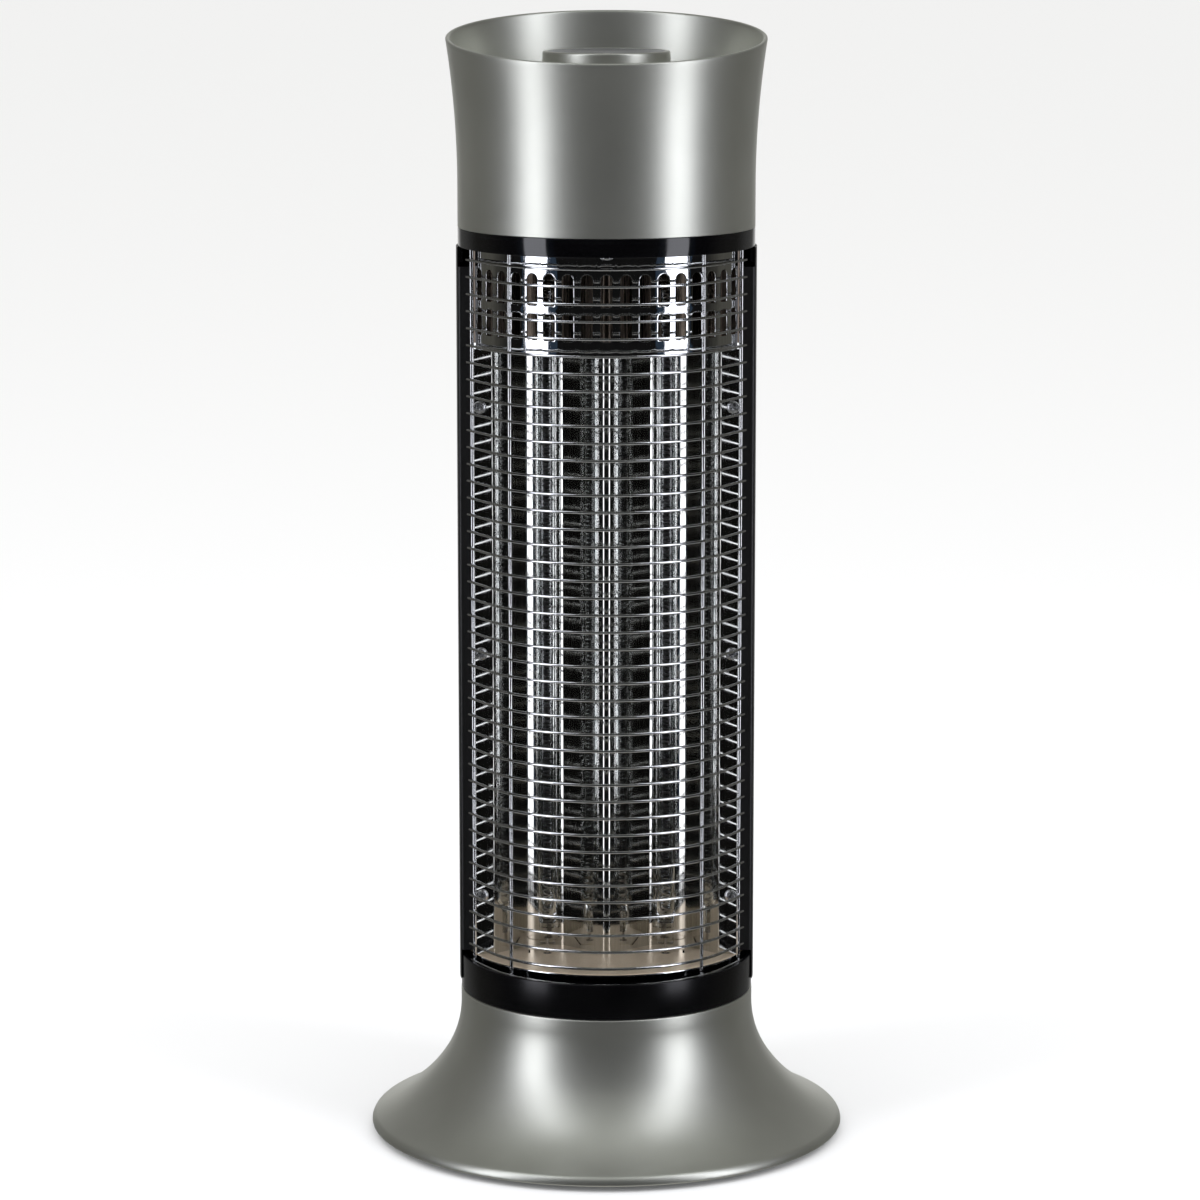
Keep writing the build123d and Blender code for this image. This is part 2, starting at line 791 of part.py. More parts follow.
# Swing gear on the hub's end, with the slot that runs past the stop peg
gear_step = 360 / gear_teeth
gear_side = floor((swing_range + 18) / gear_step)
stop_reach = swing_range + degrees(stop_gap / stop_ring_r)
with BuildPart() as swing_gear:
    with BuildSketch(Plane.XY.offset(gear_bottom)):
        Circle(gear_module * (gear_teeth / 2 - 1.25))
        add_teeth(gear_teeth, [180 + gear_step * step for step in range(-gear_side, gear_side + 1)])
        Circle(hub_bore_r, mode=Mode.SUBTRACT)
        with Locations(*gear_screw_spots):
            Circle(small_screw_r + 2 * screw_clear, mode=Mode.SUBTRACT)
        SlotArc(
            CenterArc((0, 0), stop_ring_r, -stop_reach, 2 * stop_reach, mode=Mode.PRIVATE),
            2 * (stop_r + stop_gap),
            mode=Mode.SUBTRACT,
        )
    extrude(amount=gear_t)
finish(swing_gear, "swing_gear")

gear_screw = pan_screw(
    small_screw_r, small_screw_head_r, small_screw_head_h, gear_t + small_screw_len - 0.5
)
with BuildPart() as gear_screws:
    with Locations(*[Location((x, y, gear_bottom), (180, 0, 0)) for x, y in gear_screw_spots]):
        add(gear_screw)
finish(gear_screws, "gear_screws")

# Rear housing: one sheet bent to a C, with turned-in lips and vents at the back
lip_corner_x = sqrt(housing_r**2 - lip_y**2)
lip_back_y = lip_y + housing_t
housing_inner_r = housing_r - housing_t
inner_corner_x = sqrt(housing_inner_r**2 - lip_back_y**2)
with BuildPart() as rear_housing:
    with BuildSketch(Plane.XY.offset(housing_bottom)) as c_shape:
        with BuildLine():
            ThreePointArc((-lip_corner_x, lip_y), (0, housing_r), (lip_corner_x, lip_y))
            Polyline(
                (lip_corner_x, lip_y),
                (lip_inner_x, lip_y),
                (lip_inner_x, lip_back_y),
                (inner_corner_x, lip_back_y),
            )
            ThreePointArc(
                (inner_corner_x, lip_back_y), (0, housing_inner_r), (-inner_corner_x, lip_back_y)
            )
            Polyline(
                (-inner_corner_x, lip_back_y),
                (-lip_inner_x, lip_back_y),
                (-lip_inner_x, lip_y),
                (-lip_corner_x, lip_y),
            )
        make_face()
        for side in (-1, 1):
            outer = c_shape.vertices().sort_by_distance((side * lip_corner_x, lip_y))[0]
            fillet(outer, housing_bend)
            inner = c_shape.vertices().sort_by_distance((side * inner_corner_x, lip_back_y))[0]
            fillet(inner, housing_bend - housing_t)
    extrude(amount=housing_len)
    for low, high in (
        (housing_bottom, ring_top + lip_end_gap),
        (band_bottom - spigot_h - lip_end_gap, housing_top),
    ):
        with BuildSketch(Plane.XY.offset(low)):
            with Locations((0, lip_y)):
                Rectangle(2 * (housing_inner_r - 0.4), 4 * housing_t)
        extrude(amount=high - low, mode=Mode.SUBTRACT)
    for low in (vent_low, vent_high):
        with BuildSketch(Plane.XZ.offset(-housing_r - 1)):
            with Locations((0, housing_bottom + low)):
                with GridLocations(vent_pitch, 1, vent_count, 1):
                    SlotOverall(vent_h, vent_w, rotation=90)
        extrude(amount=housing_r * 0.25, mode=Mode.SUBTRACT)
    for height in (lower_screw_z, upper_screw_z):
        for side in housing_screw_turns:
            with BuildSketch(radial_plane(side, housing_inner_r - 1, height)):
                Circle(small_screw_r + 2 * screw_clear)
            extrude(amount=housing_t + 2, mode=Mode.SUBTRACT)
    for height in flange_screw_z:
        with BuildSketch(Plane.XZ.offset(-lip_y + 1)):
            with Locations((-flange_screw_x, height), (flange_screw_x, height)):
                Circle(small_screw_r + screw_clear)
        extrude(amount=-housing_t - 2, mode=Mode.SUBTRACT)
finish(rear_housing, "rear_housing")

with BuildPart() as housing_screws:
    with Locations(
        *[
            radial_plane(side, housing_r, height).location
            for side in housing_screw_turns
            for height in (lower_screw_z, upper_screw_z)
        ]
    ):
        add(small_screw)
finish(housing_screws, "housing_screws")

# Upper ring: the collar under the head, its deck and the spigot inside the housing
head_screw_spots = ring_spots(head_boss_ring_r, 3, -90)
with BuildPart() as upper_ring:
    with BuildSketch(Plane.XY.offset(band_bottom - spigot_h)):
        Circle(ring_r)
        Circle(ring_inner_r, mode=Mode.SUBTRACT)
    extrude(amount=spigot_h)
    with BuildSketch(Plane.XY.offset(band_bottom - spigot_h)):
        with Locations((0, lip_y - ring_r)):
            Rectangle(2 * housing_r, 2 * ring_r + 4 * housing_t)
    extrude(amount=spigot_h, mode=Mode.SUBTRACT)
    with BuildSketch(Plane.XY.offset(band_bottom)):
        Circle(ring_r)
        Circle(ring_inner_r, mode=Mode.SUBTRACT)
    extrude(amount=upper_band_h)
    with BuildSketch(Plane.XY.offset(deck2_bottom)):
        Circle(ring_r - ring_wall / 2)
        Circle(upper_deck_r, mode=Mode.SUBTRACT)
        with Locations(*head_screw_spots):
            Circle(screw_r + 2 * screw_clear, mode=Mode.SUBTRACT)
    extrude(amount=upper_deck_t)
    with BuildSketch(Plane.XY.offset(deck2_bottom)):
        with Locations(*panel_screw_spots):
            Circle(small_screw_r + screw_clear)
    extrude(amount=upper_deck_t, mode=Mode.SUBTRACT)
    with BuildSketch(Plane.XY.offset(deck2_bottom)):
        with Locations(*upright_spots):
            Circle(guard_upright_r + screw_clear)
    extrude(amount=guard_socket, mode=Mode.SUBTRACT)
    for side in housing_screw_turns:
        with BuildSketch(radial_plane(side, ring_inner_r - 1, upper_screw_z)):
            Circle(small_screw_r + screw_clear)
        extrude(amount=ring_wall + 2, mode=Mode.SUBTRACT)
finish(upper_ring, "upper_ring")

# Reflector: a sheet bent to two troughs with a ridge between them and a flange each side
trough_half = fold_x / 2
trough_r = (trough_half**2 + trough_depth**2) / (2 * trough_depth)
trough_y = flange_y + trough_depth - trough_r
back_r = trough_r + sheet_t
back_fold_x = trough_half + sqrt(back_r**2 - (lip_y - trough_y) ** 2)
back_ridge_y = trough_y + sqrt(back_r**2 - trough_half**2)
with BuildPart() as reflector:
    with BuildSketch(Plane.XY.offset(chamber_floor)) as w_shape:
        with BuildLine():
            Line((-flange_x, flange_y), (-fold_x, flange_y))
            ThreePointArc(
                (-fold_x, flange_y), (-trough_half, trough_y + trough_r), (0, flange_y)
            )
            ThreePointArc((0, flange_y), (trough_half, trough_y + trough_r), (fold_x, flange_y))
            Polyline(
                (fold_x, flange_y), (flange_x, flange_y), (flange_x, lip_y), (back_fold_x, lip_y)
            )
            ThreePointArc(
                (back_fold_x, lip_y), (trough_half, trough_y + back_r), (0, back_ridge_y)
            )
            ThreePointArc(
                (0, back_ridge_y), (-trough_half, trough_y + back_r), (-back_fold_x, lip_y)
            )
            Polyline((-back_fold_x, lip_y), (-flange_x, lip_y), (-flange_x, flange_y))
        make_face()
    extrude(amount=chamber_top - chamber_floor)
    for height in flange_screw_z:
        with BuildSketch(Plane.XZ.offset(-lip_y + 1)):
            with Locations((-flange_screw_x, height), (flange_screw_x, height)):
                Circle(small_screw_r + 2 * screw_clear)
        extrude(amount=-sheet_t - 2, mode=Mode.SUBTRACT)
finish(reflector, "reflector")

flange_screw = pan_screw(small_screw_r, screw_head_r, screw_head_h, small_screw_len)
with BuildPart() as reflector_screws:
    with Locations(
        *[
            Location((side * flange_screw_x, flange_y, height), (90, 0, 0))
            for side in (-1, 1)
            for height in flange_screw_z
        ]
    ):
        add(flange_screw)
finish(reflector_screws, "reflector_screws")


def chamber_sheet():
    """Plan of the chamber's floor and ceiling sheets, in the current sketch."""
    Circle(chamber_r)
    with Locations((0, panel_y)):
        Circle(panel_r, mode=Mode.INTERSECT)
    with Locations((0, panel_back_y - chamber_r)):
        Rectangle(3 * chamber_r, 2 * chamber_r, mode=Mode.INTERSECT)


def chamber_skirt():
    """Plan of the curved front skirt, in the current sketch."""
    with Locations((0, panel_y)):
        Circle(panel_r)
        Circle(panel_r - sheet_t, mode=Mode.SUBTRACT)
    with Locations((0, flange_y - chamber_r - 2 * run_fit)):
        Rectangle(3 * chamber_r, 2 * chamber_r, mode=Mode.INTERSECT)


lamp_spots = [(-lamp_x, lamp_y), (lamp_x, lamp_y)]


def lamp_openings():
    """Holes for the lamps' bushes, the slit round three sides of each, and the screw holes."""
    with Locations(*lamp_spots):
        Circle(bush_neck_r + screw_clear, mode=Mode.SUBTRACT)
        with Locations((0, slit_back)):
            Rectangle(slit_l, slit_w, mode=Mode.SUBTRACT)
        with Locations((0, slit_back - slit_leg / 2)):
            with GridLocations(slit_l - slit_w, 1, 2, 1):
                Rectangle(slit_w, slit_leg, mode=Mode.SUBTRACT)
    with Locations(*panel_screw_spots):
        Circle(small_screw_r + 2 * screw_clear, mode=Mode.SUBTRACT)


# Bottom plate: the chamber's floor with a short front lip
with BuildPart() as bottom_plate:
    with BuildSketch(Plane.XY.offset(chamber_floor - sheet_t)):
        chamber_sheet()
        lamp_openings()
    extrude(amount=sheet_t)
    with BuildSketch(Plane.XY.offset(chamber_floor)):
        chamber_skirt()
    extrude(amount=-plate_lip_drop)
finish(bottom_plate, "bottom_plate")

# Top panel: the chamber's ceiling with a deep front skirt and two rows of slots
with BuildPart() as top_panel:
    with BuildSketch(Plane.XY.offset(chamber_top)):
        chamber_sheet()
        lamp_openings()
    extrude(amount=sheet_t)
    with BuildSketch(Plane.XY.offset(chamber_top + sheet_t)):
        chamber_skirt()
    extrude(amount=-panel_drop)
    for step in range(-slot_each_side, slot_each_side + 1):
        way = radians(-90 + slot_turn * step)
        face = Plane(
            origin=((panel_r - 4) * cos(way), panel_y + (panel_r - 4) * sin(way), panel_bottom),
            x_dir=(-sin(way), cos(way), 0),
            z_dir=(cos(way), sin(way), 0),
        )
        with BuildSketch(face):
            with Locations((0, (slot_lower_low + slot_lower_high) / 2)):
                RectangleRounded(slot_w, slot_lower_high - slot_lower_low, slot_corner)
            with Locations((0, (slot_upper_low + slot_upper_high - slot_w / 2) / 2)):
                Rectangle(slot_w, slot_upper_high - slot_upper_low - slot_w / 2)
            with Locations((0, slot_upper_high - slot_w / 2)):
                Circle(slot_w / 2)
        extrude(amount=8, mode=Mode.SUBTRACT)
finish(top_panel, "top_panel")

with BuildPart() as panel_screws:
    with Locations(
        *[(x, y, chamber_floor) for x, y in panel_screw_spots],
        *[Location((x, y, chamber_top), (180, 0, 0)) for x, y in panel_screw_spots],
    ):
        add(small_screw)
finish(panel_screws, "panel_screws")

# Wire guard: curved wires, and the uprights that stand in sockets in the two rings
tail_x = guard_r * sin(turn) + guard_tail * cos(turn)
tail_y = -guard_r * cos(turn) + guard_tail * sin(turn)
with BuildPart() as guard_wire:
    with BuildLine() as guard_path:
        Line((-tail_x, tail_y), (-guard_r * sin(turn), -guard_r * cos(turn)))
        ThreePointArc(
            (-guard_r * sin(turn), -guard_r * cos(turn)),
            (0, -guard_r),
            (guard_r * sin(turn), -guard_r * cos(turn)),
        )
        Line((guard_r * sin(turn), -guard_r * cos(turn)), (tail_x, tail_y))
    with BuildSketch(Plane(origin=guard_path.wire() @ 0, z_dir=guard_path.wire() % 0)):
        Circle(guard_wire_r)
    sweep(path=guard_path.wire())

with BuildPart() as guard_wires:
    with Locations(*[(0, 0, guard_first + guard_pitch * step) for step in range(guard_count)]):
        add(guard_wire.part)
finish(guard_wires, "guard_wires")

with BuildPart() as guard_uprights:
    with BuildSketch(Plane.XY.offset(ring_floor - guard_socket)):
        with Locations(*upright_spots):
            Circle(guard_upright_r)
    extrude(amount=deck2_bottom - ring_floor + 2 * guard_socket)
finish(guard_uprights, "guard_uprights")

# Quartz lamps: a tube with flattened ends, a wound element and a spring at each end of it
lamp_low = chamber_floor + pinch_up
lamp_high = chamber_top - pinch_up
cavity_low = lamp_low + pinch_h + lamp_seal
cavity_high = lamp_high - pinch_h - lamp_seal
for name, spot in (("lamp_tube_left", lamp_spots[0]), ("lamp_tube_right", lamp_spots[1])):
    with BuildPart() as lamp_tube:
        with BuildSketch(Plane.XY.offset(lamp_low)):
            with Locations(spot):
                Rectangle(pinch_w, pinch_t)
        extrude(amount=lamp_high - lamp_low)
        with BuildSketch(Plane.XY.offset(lamp_low + pinch_h)):
            with Locations(spot):
                Circle(lamp_r)
        extrude(amount=lamp_high - lamp_low - 2 * pinch_h)
        with BuildSketch(Plane.XY.offset(cavity_low)):
            with Locations(spot):
                Circle(lamp_r - lamp_wall)
        extrude(amount=cavity_high - cavity_low, mode=Mode.SUBTRACT)
    finish(lamp_tube, name)

element_low = cavity_low + lamp_spring_h
element_high = cavity_high - lamp_spring_h
element_coil = coil(element_r, element_wire_r, element_low, element_high, element_turns)
for name, spot in (("element_left", lamp_spots[0]), ("element_right", lamp_spots[1])):
    with BuildPart() as element:
        with Locations(spot):
            add(element_coil)
    finish(element, name)

lower_spring = coil(element_r, lamp_spring_wire_r, cavity_low, element_low, lamp_spring_turns)
upper_spring = coil(element_r, lamp_spring_wire_r, element_high, cavity_high, lamp_spring_turns)
with BuildPart() as element_springs:
    with Locations(*lamp_spots):
        add(lower_spring)
        add(upper_spring)
finish(element_springs, "element_springs")

# Lead pins out of the flattened ends, and the bushes that hold them in the two sheets
with BuildPart() as lead_pins:
    with BuildSketch(Plane.XY.offset(lamp_low)):
        with Locations(*lamp_spots):
            Circle(lead_pin_r)
    extrude(amount=-lead_pin_len)
    with BuildSketch(Plane.XY.offset(lamp_high)):
        with Locations(*lamp_spots):
            Circle(lead_pin_r)
    extrude(amount=lead_pin_len)
finish(lead_pins, "lead_pins")

with BuildPart() as lamp_bushes:
    for face, out in ((chamber_floor - sheet_t, -1), (chamber_top + sheet_t, 1)):
        with BuildSketch(Plane.XY.offset(face)):
            with Locations(*lamp_spots):
                Circle(bush_r)
        extrude(amount=out * bush_h)
        with BuildSketch(Plane.XY.offset(face)):
            with Locations(*lamp_spots):
                Circle(bush_neck_r)
        extrude(amount=-out * (sheet_t - bush_sink))
        with BuildSketch(Plane.XY.offset(face + out * bush_h)):
            with Locations(*lamp_spots):
                Circle(lead_pin_r + screw_clear)
        extrude(amount=-out * (bush_h + sheet_t), mode=Mode.SUBTRACT)
finish(lamp_bushes, "lamp_bushes")

# Head: the flared shell with the bowl moulded into it and a rim that slopes to the front
flare_foot = band_top + head_straight


def head_outline(depth, bottom, top):
    """Right half of the head's section at a depth under its surface."""
    reach = degrees(asin((top - flare_foot) / (head_flare_r + depth)))
    with BuildLine() as outline:
        side = Line((ring_r - depth, bottom), (ring_r - depth, flare_foot))
        flare = CenterArc(
            (ring_r + head_flare_r, flare_foot), head_flare_r + depth, 180, -reach
        )
        Polyline(flare @ 1, (0, top), (0, bottom), side @ 0)
    return outline


rim_plane = Plane(
    origin=(0, 0, band_top + rim_mid_up),
    z_dir=(0, -sin(radians(rim_slope)), cos(radians(rim_slope))),
)
with BuildPart() as head_shell:
    with BuildSketch(Plane.XZ):
        add(head_outline(0, band_top, head_top))
        make_face()
    revolve(axis=Axis.Z)
    with BuildSketch(Plane.XZ) as bowl:
        with BuildLine():
            reach = degrees(asin((head_top + 1 - flare_foot) / (head_flare_r + head_wall)))
            floor_turn = degrees(asin((bowl_floor - flare_foot) / (head_flare_r + head_wall)))
            wall = CenterArc(
                (ring_r + head_flare_r, flare_foot),
                head_flare_r + head_wall,
                180 - floor_turn,
                floor_turn - reach,
            )
            Polyline(wall @ 1, (0, head_top + 1), (0, bowl_floor), wall @ 0)
        make_face()
        fillet(bowl.vertices().sort_by_distance(wall @ 0)[0], bowl_round)
    revolve(axis=Axis.Z, mode=Mode.SUBTRACT)
    with BuildSketch(Plane.XY.offset(band_top)):
        Circle(ring_r - head_wall)
    extrude(amount=bowl_floor_up - bowl_floor_t, mode=Mode.SUBTRACT)
    split(bisect_by=rim_plane, keep=Keep.BOTTOM)
    fillet(head_shell.edges().sort_by(Axis.Z)[-2:], head_round)
    with BuildSketch(Plane.XY.offset(deck2_top)) as boss_plan:
        with Locations(*head_screw_spots):
            Circle(head_boss_r)
        Circle(ring_r - head_wall / 2, mode=Mode.INTERSECT)
    extrude(amount=band_top - deck2_top + head_boss_h)
    with BuildSketch(Plane.XY.offset(deck2_top)):
        Circle(ring_r)
        Circle(ring_inner_r - screw_clear, mode=Mode.SUBTRACT)
    extrude(amount=band_top - deck2_top, mode=Mode.SUBTRACT)
    with BuildSketch(Plane.XY.offset(deck2_top)):
        with Locations(*head_screw_spots):
            Circle(screw_r + screw_clear)
    extrude(amount=screw_len, mode=Mode.SUBTRACT)
    with BuildSketch(Plane.XY.offset(bowl_floor)):
        Circle(switch_bush_r + screw_clear)
    extrude(amount=-bowl_floor_t, mode=Mode.SUBTRACT)
finish(head_shell, "head_shell")

with BuildPart() as head_screws:
    with Locations(*[Location((x, y, deck2_bottom), (180, 0, 0)) for x, y in head_screw_spots]):
        add(screw)
finish(head_screws, "head_screws")

# Rotary switch under the bowl's floor, the nut that holds it, and its shaft
bowl_under = bowl_floor - bowl_floor_t
switch_top = bowl_under
bush_top = bowl_floor + switch_bush_up
with BuildPart() as rotary_switch:
    with BuildSketch(Plane.XY.offset(switch_top)):
        RectangleRounded(switch_l, switch_l, 3)
    extrude(amount=-switch_h)
    with BuildSketch(Plane.XY.offset(switch_top)):
        Circle(switch_bush_r)
    extrude(amount=bush_top - switch_top)
    with BuildSketch(Plane.XY.offset(bush_top)):
        Circle(switch_shaft_r + run_fit)
    extrude(amount=-(bush_top - switch_top + shaft_in), mode=Mode.SUBTRACT)
    with BuildSketch(Plane.XY.offset(switch_top - switch_h)):
        with GridLocations(switch_l * 0.6, switch_l * 0.6, 2, 2):
            Rectangle(4.8, 0.8)
    extrude(amount=-7)
finish(rotary_switch, "rotary_switch")

with BuildPart() as switch_nut:
    with BuildSketch(Plane.XY.offset(bowl_floor)):
        RegularPolygon(switch_nut_r, 6)
        Circle(switch_bush_r + screw_clear, mode=Mode.SUBTRACT)
    extrude(amount=switch_nut_h)
    chamfer(switch_nut.edges().group_by(Axis.Z)[-1], 0.3)
finish(switch_nut, "switch_nut")

shaft_top = bush_top + switch_shaft_reach
with BuildPart() as switch_shaft:
    with BuildSketch(Plane.XY.offset(switch_top - shaft_in)):
        Circle(switch_shaft_r)
    extrude(amount=shaft_top - switch_top + shaft_in)
    with BuildSketch(Plane.XY.offset(bush_top + 2)):
        with Locations((0, switch_shaft_flat + switch_shaft_r)):
            Rectangle(4 * switch_shaft_r, 2 * switch_shaft_r)
    extrude(amount=switch_shaft_reach, mode=Mode.SUBTRACT)
finish(switch_shaft, "switch_shaft")

# Knob: a drafted cup with a boss for the shaft, and the disc inlaid in its top
with BuildPart() as knob:
    with BuildSketch(Plane.XY.offset(knob_bottom)):
        Circle(knob_r + knob_draft)
    with BuildSketch(Plane.XY.offset(knob_top)):
        Circle(knob_r)
    loft()
    fillet(knob.edges().filter_by(GeomType.CIRCLE).sort_by(Axis.Z)[-1], knob_round)
    with BuildSketch(Plane.XY.offset(knob_bottom)):
        Circle(knob_r - knob_wall)
    extrude(amount=knob_h - knob_top_t, mode=Mode.SUBTRACT)
    with BuildSketch(Plane.XY.offset(bush_top + 1)):
        Circle(knob_boss_r)
    extrude(amount=knob_top - knob_top_t / 2 - bush_top - 1)
    with BuildSketch(Plane.XY.offset(bush_top + 1)):
        Circle(switch_shaft_r + screw_clear)
        with Locations((0, switch_shaft_flat + screw_clear + switch_shaft_r)):
            Rectangle(4 * switch_shaft_r, 2 * switch_shaft_r, mode=Mode.SUBTRACT)
    extrude(amount=switch_shaft_reach - 1 + screw_clear, mode=Mode.SUBTRACT)
    with BuildSketch(Plane.XY.offset(bush_top + 1)):
        Circle(switch_shaft_r + screw_clear)
    extrude(amount=1 + screw_clear, mode=Mode.SUBTRACT)
    with BuildSketch(Plane.XY.offset(knob_top)):
        Circle(cap_r)
        with Locations((0, -cap_r)):
            Circle(pointer_r, mode=Mode.SUBTRACT)
    extrude(amount=-cap_t - cap_gap, mode=Mode.SUBTRACT)
finish(knob, "knob")

with BuildPart() as knob_cap:
    with BuildSketch(Plane.XY.offset(knob_top - cap_t - cap_gap)):
        Circle(cap_r - cap_gap)
        with Locations((0, -cap_r)):
            Circle(pointer_r + cap_gap, mode=Mode.SUBTRACT)
    extrude(amount=cap_t)
finish(knob_cap, "knob_cap")

# Thermal cut-out on the chamber's ceiling, with its two rivets
cutout_low = chamber_top + sheet_t
rivet_spots = [(-cutout_base_l * 0.4, cutout_y), (cutout_base_l * 0.4, cutout_y)]
with BuildPart() as thermal_cutout:
    with BuildSketch(Plane.XY.offset(cutout_low)):
        with Locations((0, cutout_y)):
            SlotOverall(cutout_base_l, cutout_base_w)
        with Locations(*rivet_spots):
            Circle(rivet_r + screw_clear, mode=Mode.SUBTRACT)
    extrude(amount=cutout_base_t)
    with BuildSketch(Plane.XY.offset(cutout_low)):
        with Locations((0, cutout_y)):
            Circle(cutout_r)
    extrude(amount=cutout_h)
    with BuildSketch(Plane.XY.offset(cutout_low + cutout_h)):
        with Locations((0, cutout_y)):
            with GridLocations(cutout_r, 1, 2, 1):
                Rectangle(0.8, 4.8)
    extrude(amount=7)
finish(thermal_cutout, "thermal_cutout")

with BuildPart() as cutout_rivets:
    with BuildSketch(Plane.XY.offset(cutout_low + cutout_base_t)):
        with Locations(*rivet_spots):
            Circle(rivet_head_r)
    extrude(amount=rivet_head_h)
    fillet(cutout_rivets.edges().group_by(Axis.Z)[-1], rivet_head_h * 0.6)
    with BuildSketch(Plane.XY.offset(cutout_low)):
        with Locations(*rivet_spots):
            Circle(rivet_r)
    extrude(amount=cutout_base_t)
finish(cutout_rivets, "cutout_rivets")

# Harness: one part in the base and one in the tower, which meet on the swing axis
harness_split = boss_bottom
base_harness_z = base_plate_top + block_h + 2 * harness_bend
with BuildPart() as base_harness:
    add(
        wire_along(
            [
                (0, block_y, base_plate_top + block_h),
                (0, block_y, base_harness_z),
                (0, 0, base_harness_z),
                (0, 0, harness_split),
            ],
            [harness_bend, harness_bend],
            harness_r,
        )
    )
finish(base_harness, "base_harness")

harness_run_z = ring_floor + harness_over
switch_side_z = switch_top - switch_h / 2
with BuildPart() as tower_harness:
    add(
        wire_along(
            [
                (0, 0, harness_split),
                (0, 0, harness_run_z),
                (0, harness_back_y, harness_run_z),
                (0, harness_back_y, switch_side_z),
                (0, switch_l / 2, switch_side_z),
            ],
            [harness_bend, harness_bend, harness_bend],
            harness_r,
        )
    )
finish(tower_harness, "tower_harness")

# Leads: from the switch to the lamps' upper pins, and between the lower pins
pin_top = lamp_high + lead_pin_len
lead_top = switch_top - switch_h
with BuildPart() as upper_leads:
    for side in (-1, 1):
        add(
            wire_along(
                [
                    (side * lamp_x, lamp_y, pin_top),
                    (side * lamp_x, lamp_y, pin_top + 14),
                    (side * (switch_l / 2 - 3), lamp_y / 3, lead_top - 16),
                    (side * (switch_l / 2 - 3), lamp_y / 3, lead_top),
                ],
                [lead_bend, lead_bend],
                lead_r,
            )
        )
finish(upper_leads, "upper_leads")

pin_low = lamp_low - lead_pin_len
with BuildPart() as lower_leads:
    add(
        wire_along(
            [
                (-lamp_x + lead_pin_r, lamp_y, pin_low + lead_r),
                (lamp_x - lead_pin_r, lamp_y, pin_low + lead_r),
            ],
            [],
            lead_r,
        )
    )
    add(
        wire_along(
            [
                (-lamp_x, lamp_y + lead_pin_r, pin_low + lead_r),
                (-lamp_x, harness_back_y / 2, pin_low + lead_r),
                (-harness_r, harness_back_y / 2, pin_low + lead_r),
            ],
            [lead_bend],
            lead_r,
        )
    )
finish(lower_leads, "lower_leads")
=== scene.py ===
# %% [markdown]
# # A carbon heater in Blender
#
# The heater is a small tower that swings on a flared base. Two quartz lamps stand in front of a
# bright sheet bent to a W, behind a guard of thin chrome wires, and a knob sits in the flared head.
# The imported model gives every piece's place and outer size. Only the reflector's exact section, the
# finishes and the light are matched to the photograph. Each step says what a piece is, how it could
# be made and why one way was chosen.

# %% The frame and what the script uses
import bmesh
import bpy
import json
from math import acos, asin, atan2, cos, degrees, pi, radians, sin, sqrt, tan
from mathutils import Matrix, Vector
from random import Random


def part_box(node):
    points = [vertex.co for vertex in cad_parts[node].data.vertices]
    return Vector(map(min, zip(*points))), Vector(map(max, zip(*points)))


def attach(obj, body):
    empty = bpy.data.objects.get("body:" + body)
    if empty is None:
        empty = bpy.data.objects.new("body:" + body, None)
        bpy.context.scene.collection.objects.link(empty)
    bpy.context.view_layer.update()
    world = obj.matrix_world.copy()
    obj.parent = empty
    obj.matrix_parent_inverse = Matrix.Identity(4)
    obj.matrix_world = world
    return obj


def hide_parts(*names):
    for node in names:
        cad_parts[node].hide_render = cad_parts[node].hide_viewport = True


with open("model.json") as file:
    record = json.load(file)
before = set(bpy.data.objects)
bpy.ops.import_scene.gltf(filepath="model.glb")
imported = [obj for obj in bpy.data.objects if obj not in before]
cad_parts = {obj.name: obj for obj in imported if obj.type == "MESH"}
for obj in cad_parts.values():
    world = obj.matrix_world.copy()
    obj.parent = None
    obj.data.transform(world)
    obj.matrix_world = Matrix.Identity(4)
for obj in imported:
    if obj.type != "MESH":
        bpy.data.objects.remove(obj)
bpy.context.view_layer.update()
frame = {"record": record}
MM = 0.001


def span(node):
    """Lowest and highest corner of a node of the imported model, in millimetres."""
    low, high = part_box(node)
    return low / MM, high / MM


# %% [markdown]
# ## Camera
#
# The photograph looks a little down on the heater, from just above its own height and from far
# enough away that the tower's sides stay nearly parallel. A long lens at 2.3 metres gives about the
# same widening of the base and the same ovals at the rim.

# %% Camera
camera_place = Vector((0.0, -2.294, 0.688))
camera_down = 9.85
camera_lens = 130.4
camera_shift = -0.0054

camera = bpy.data.objects.new("camera", bpy.data.cameras.new("camera"))
camera.data.lens = camera_lens
camera.data.sensor_width = 36.0
camera.data.shift_x = camera_shift
camera.data.clip_start = 0.05
camera.data.clip_end = 100.0
camera.location = camera_place
camera.rotation_euler = (radians(90.0 - camera_down), 0.0, 0.0)
bpy.context.scene.collection.objects.link(camera)
bpy.context.scene.camera = camera
print("camera", camera_place, "down", camera_down, "degrees")

# %% [markdown]
# ## How the forms are built
#
# Most visible pieces are turned, bent from sheet or drawn as wire, so a handful of helpers make
# nearly all of them: a section turned about the tower's axis, a strip with a thickness, and an
# outline pulled up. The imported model's own meshes are cut from flat triangles, which a mirror
# finish would show, so the shiny pieces are drawn again here with enough steps to look round.


# %% Helpers for forms, in millimetres
def arc(x, y, radius, first, last, steps):
    """Points along an arc, from the first to the last angle in degrees."""
    return [
        (
            x + radius * cos(radians(first + (last - first) * step / steps)),
            y + radius * sin(radians(first + (last - first) * step / steps)),
        )
        for step in range(steps + 1)
    ]


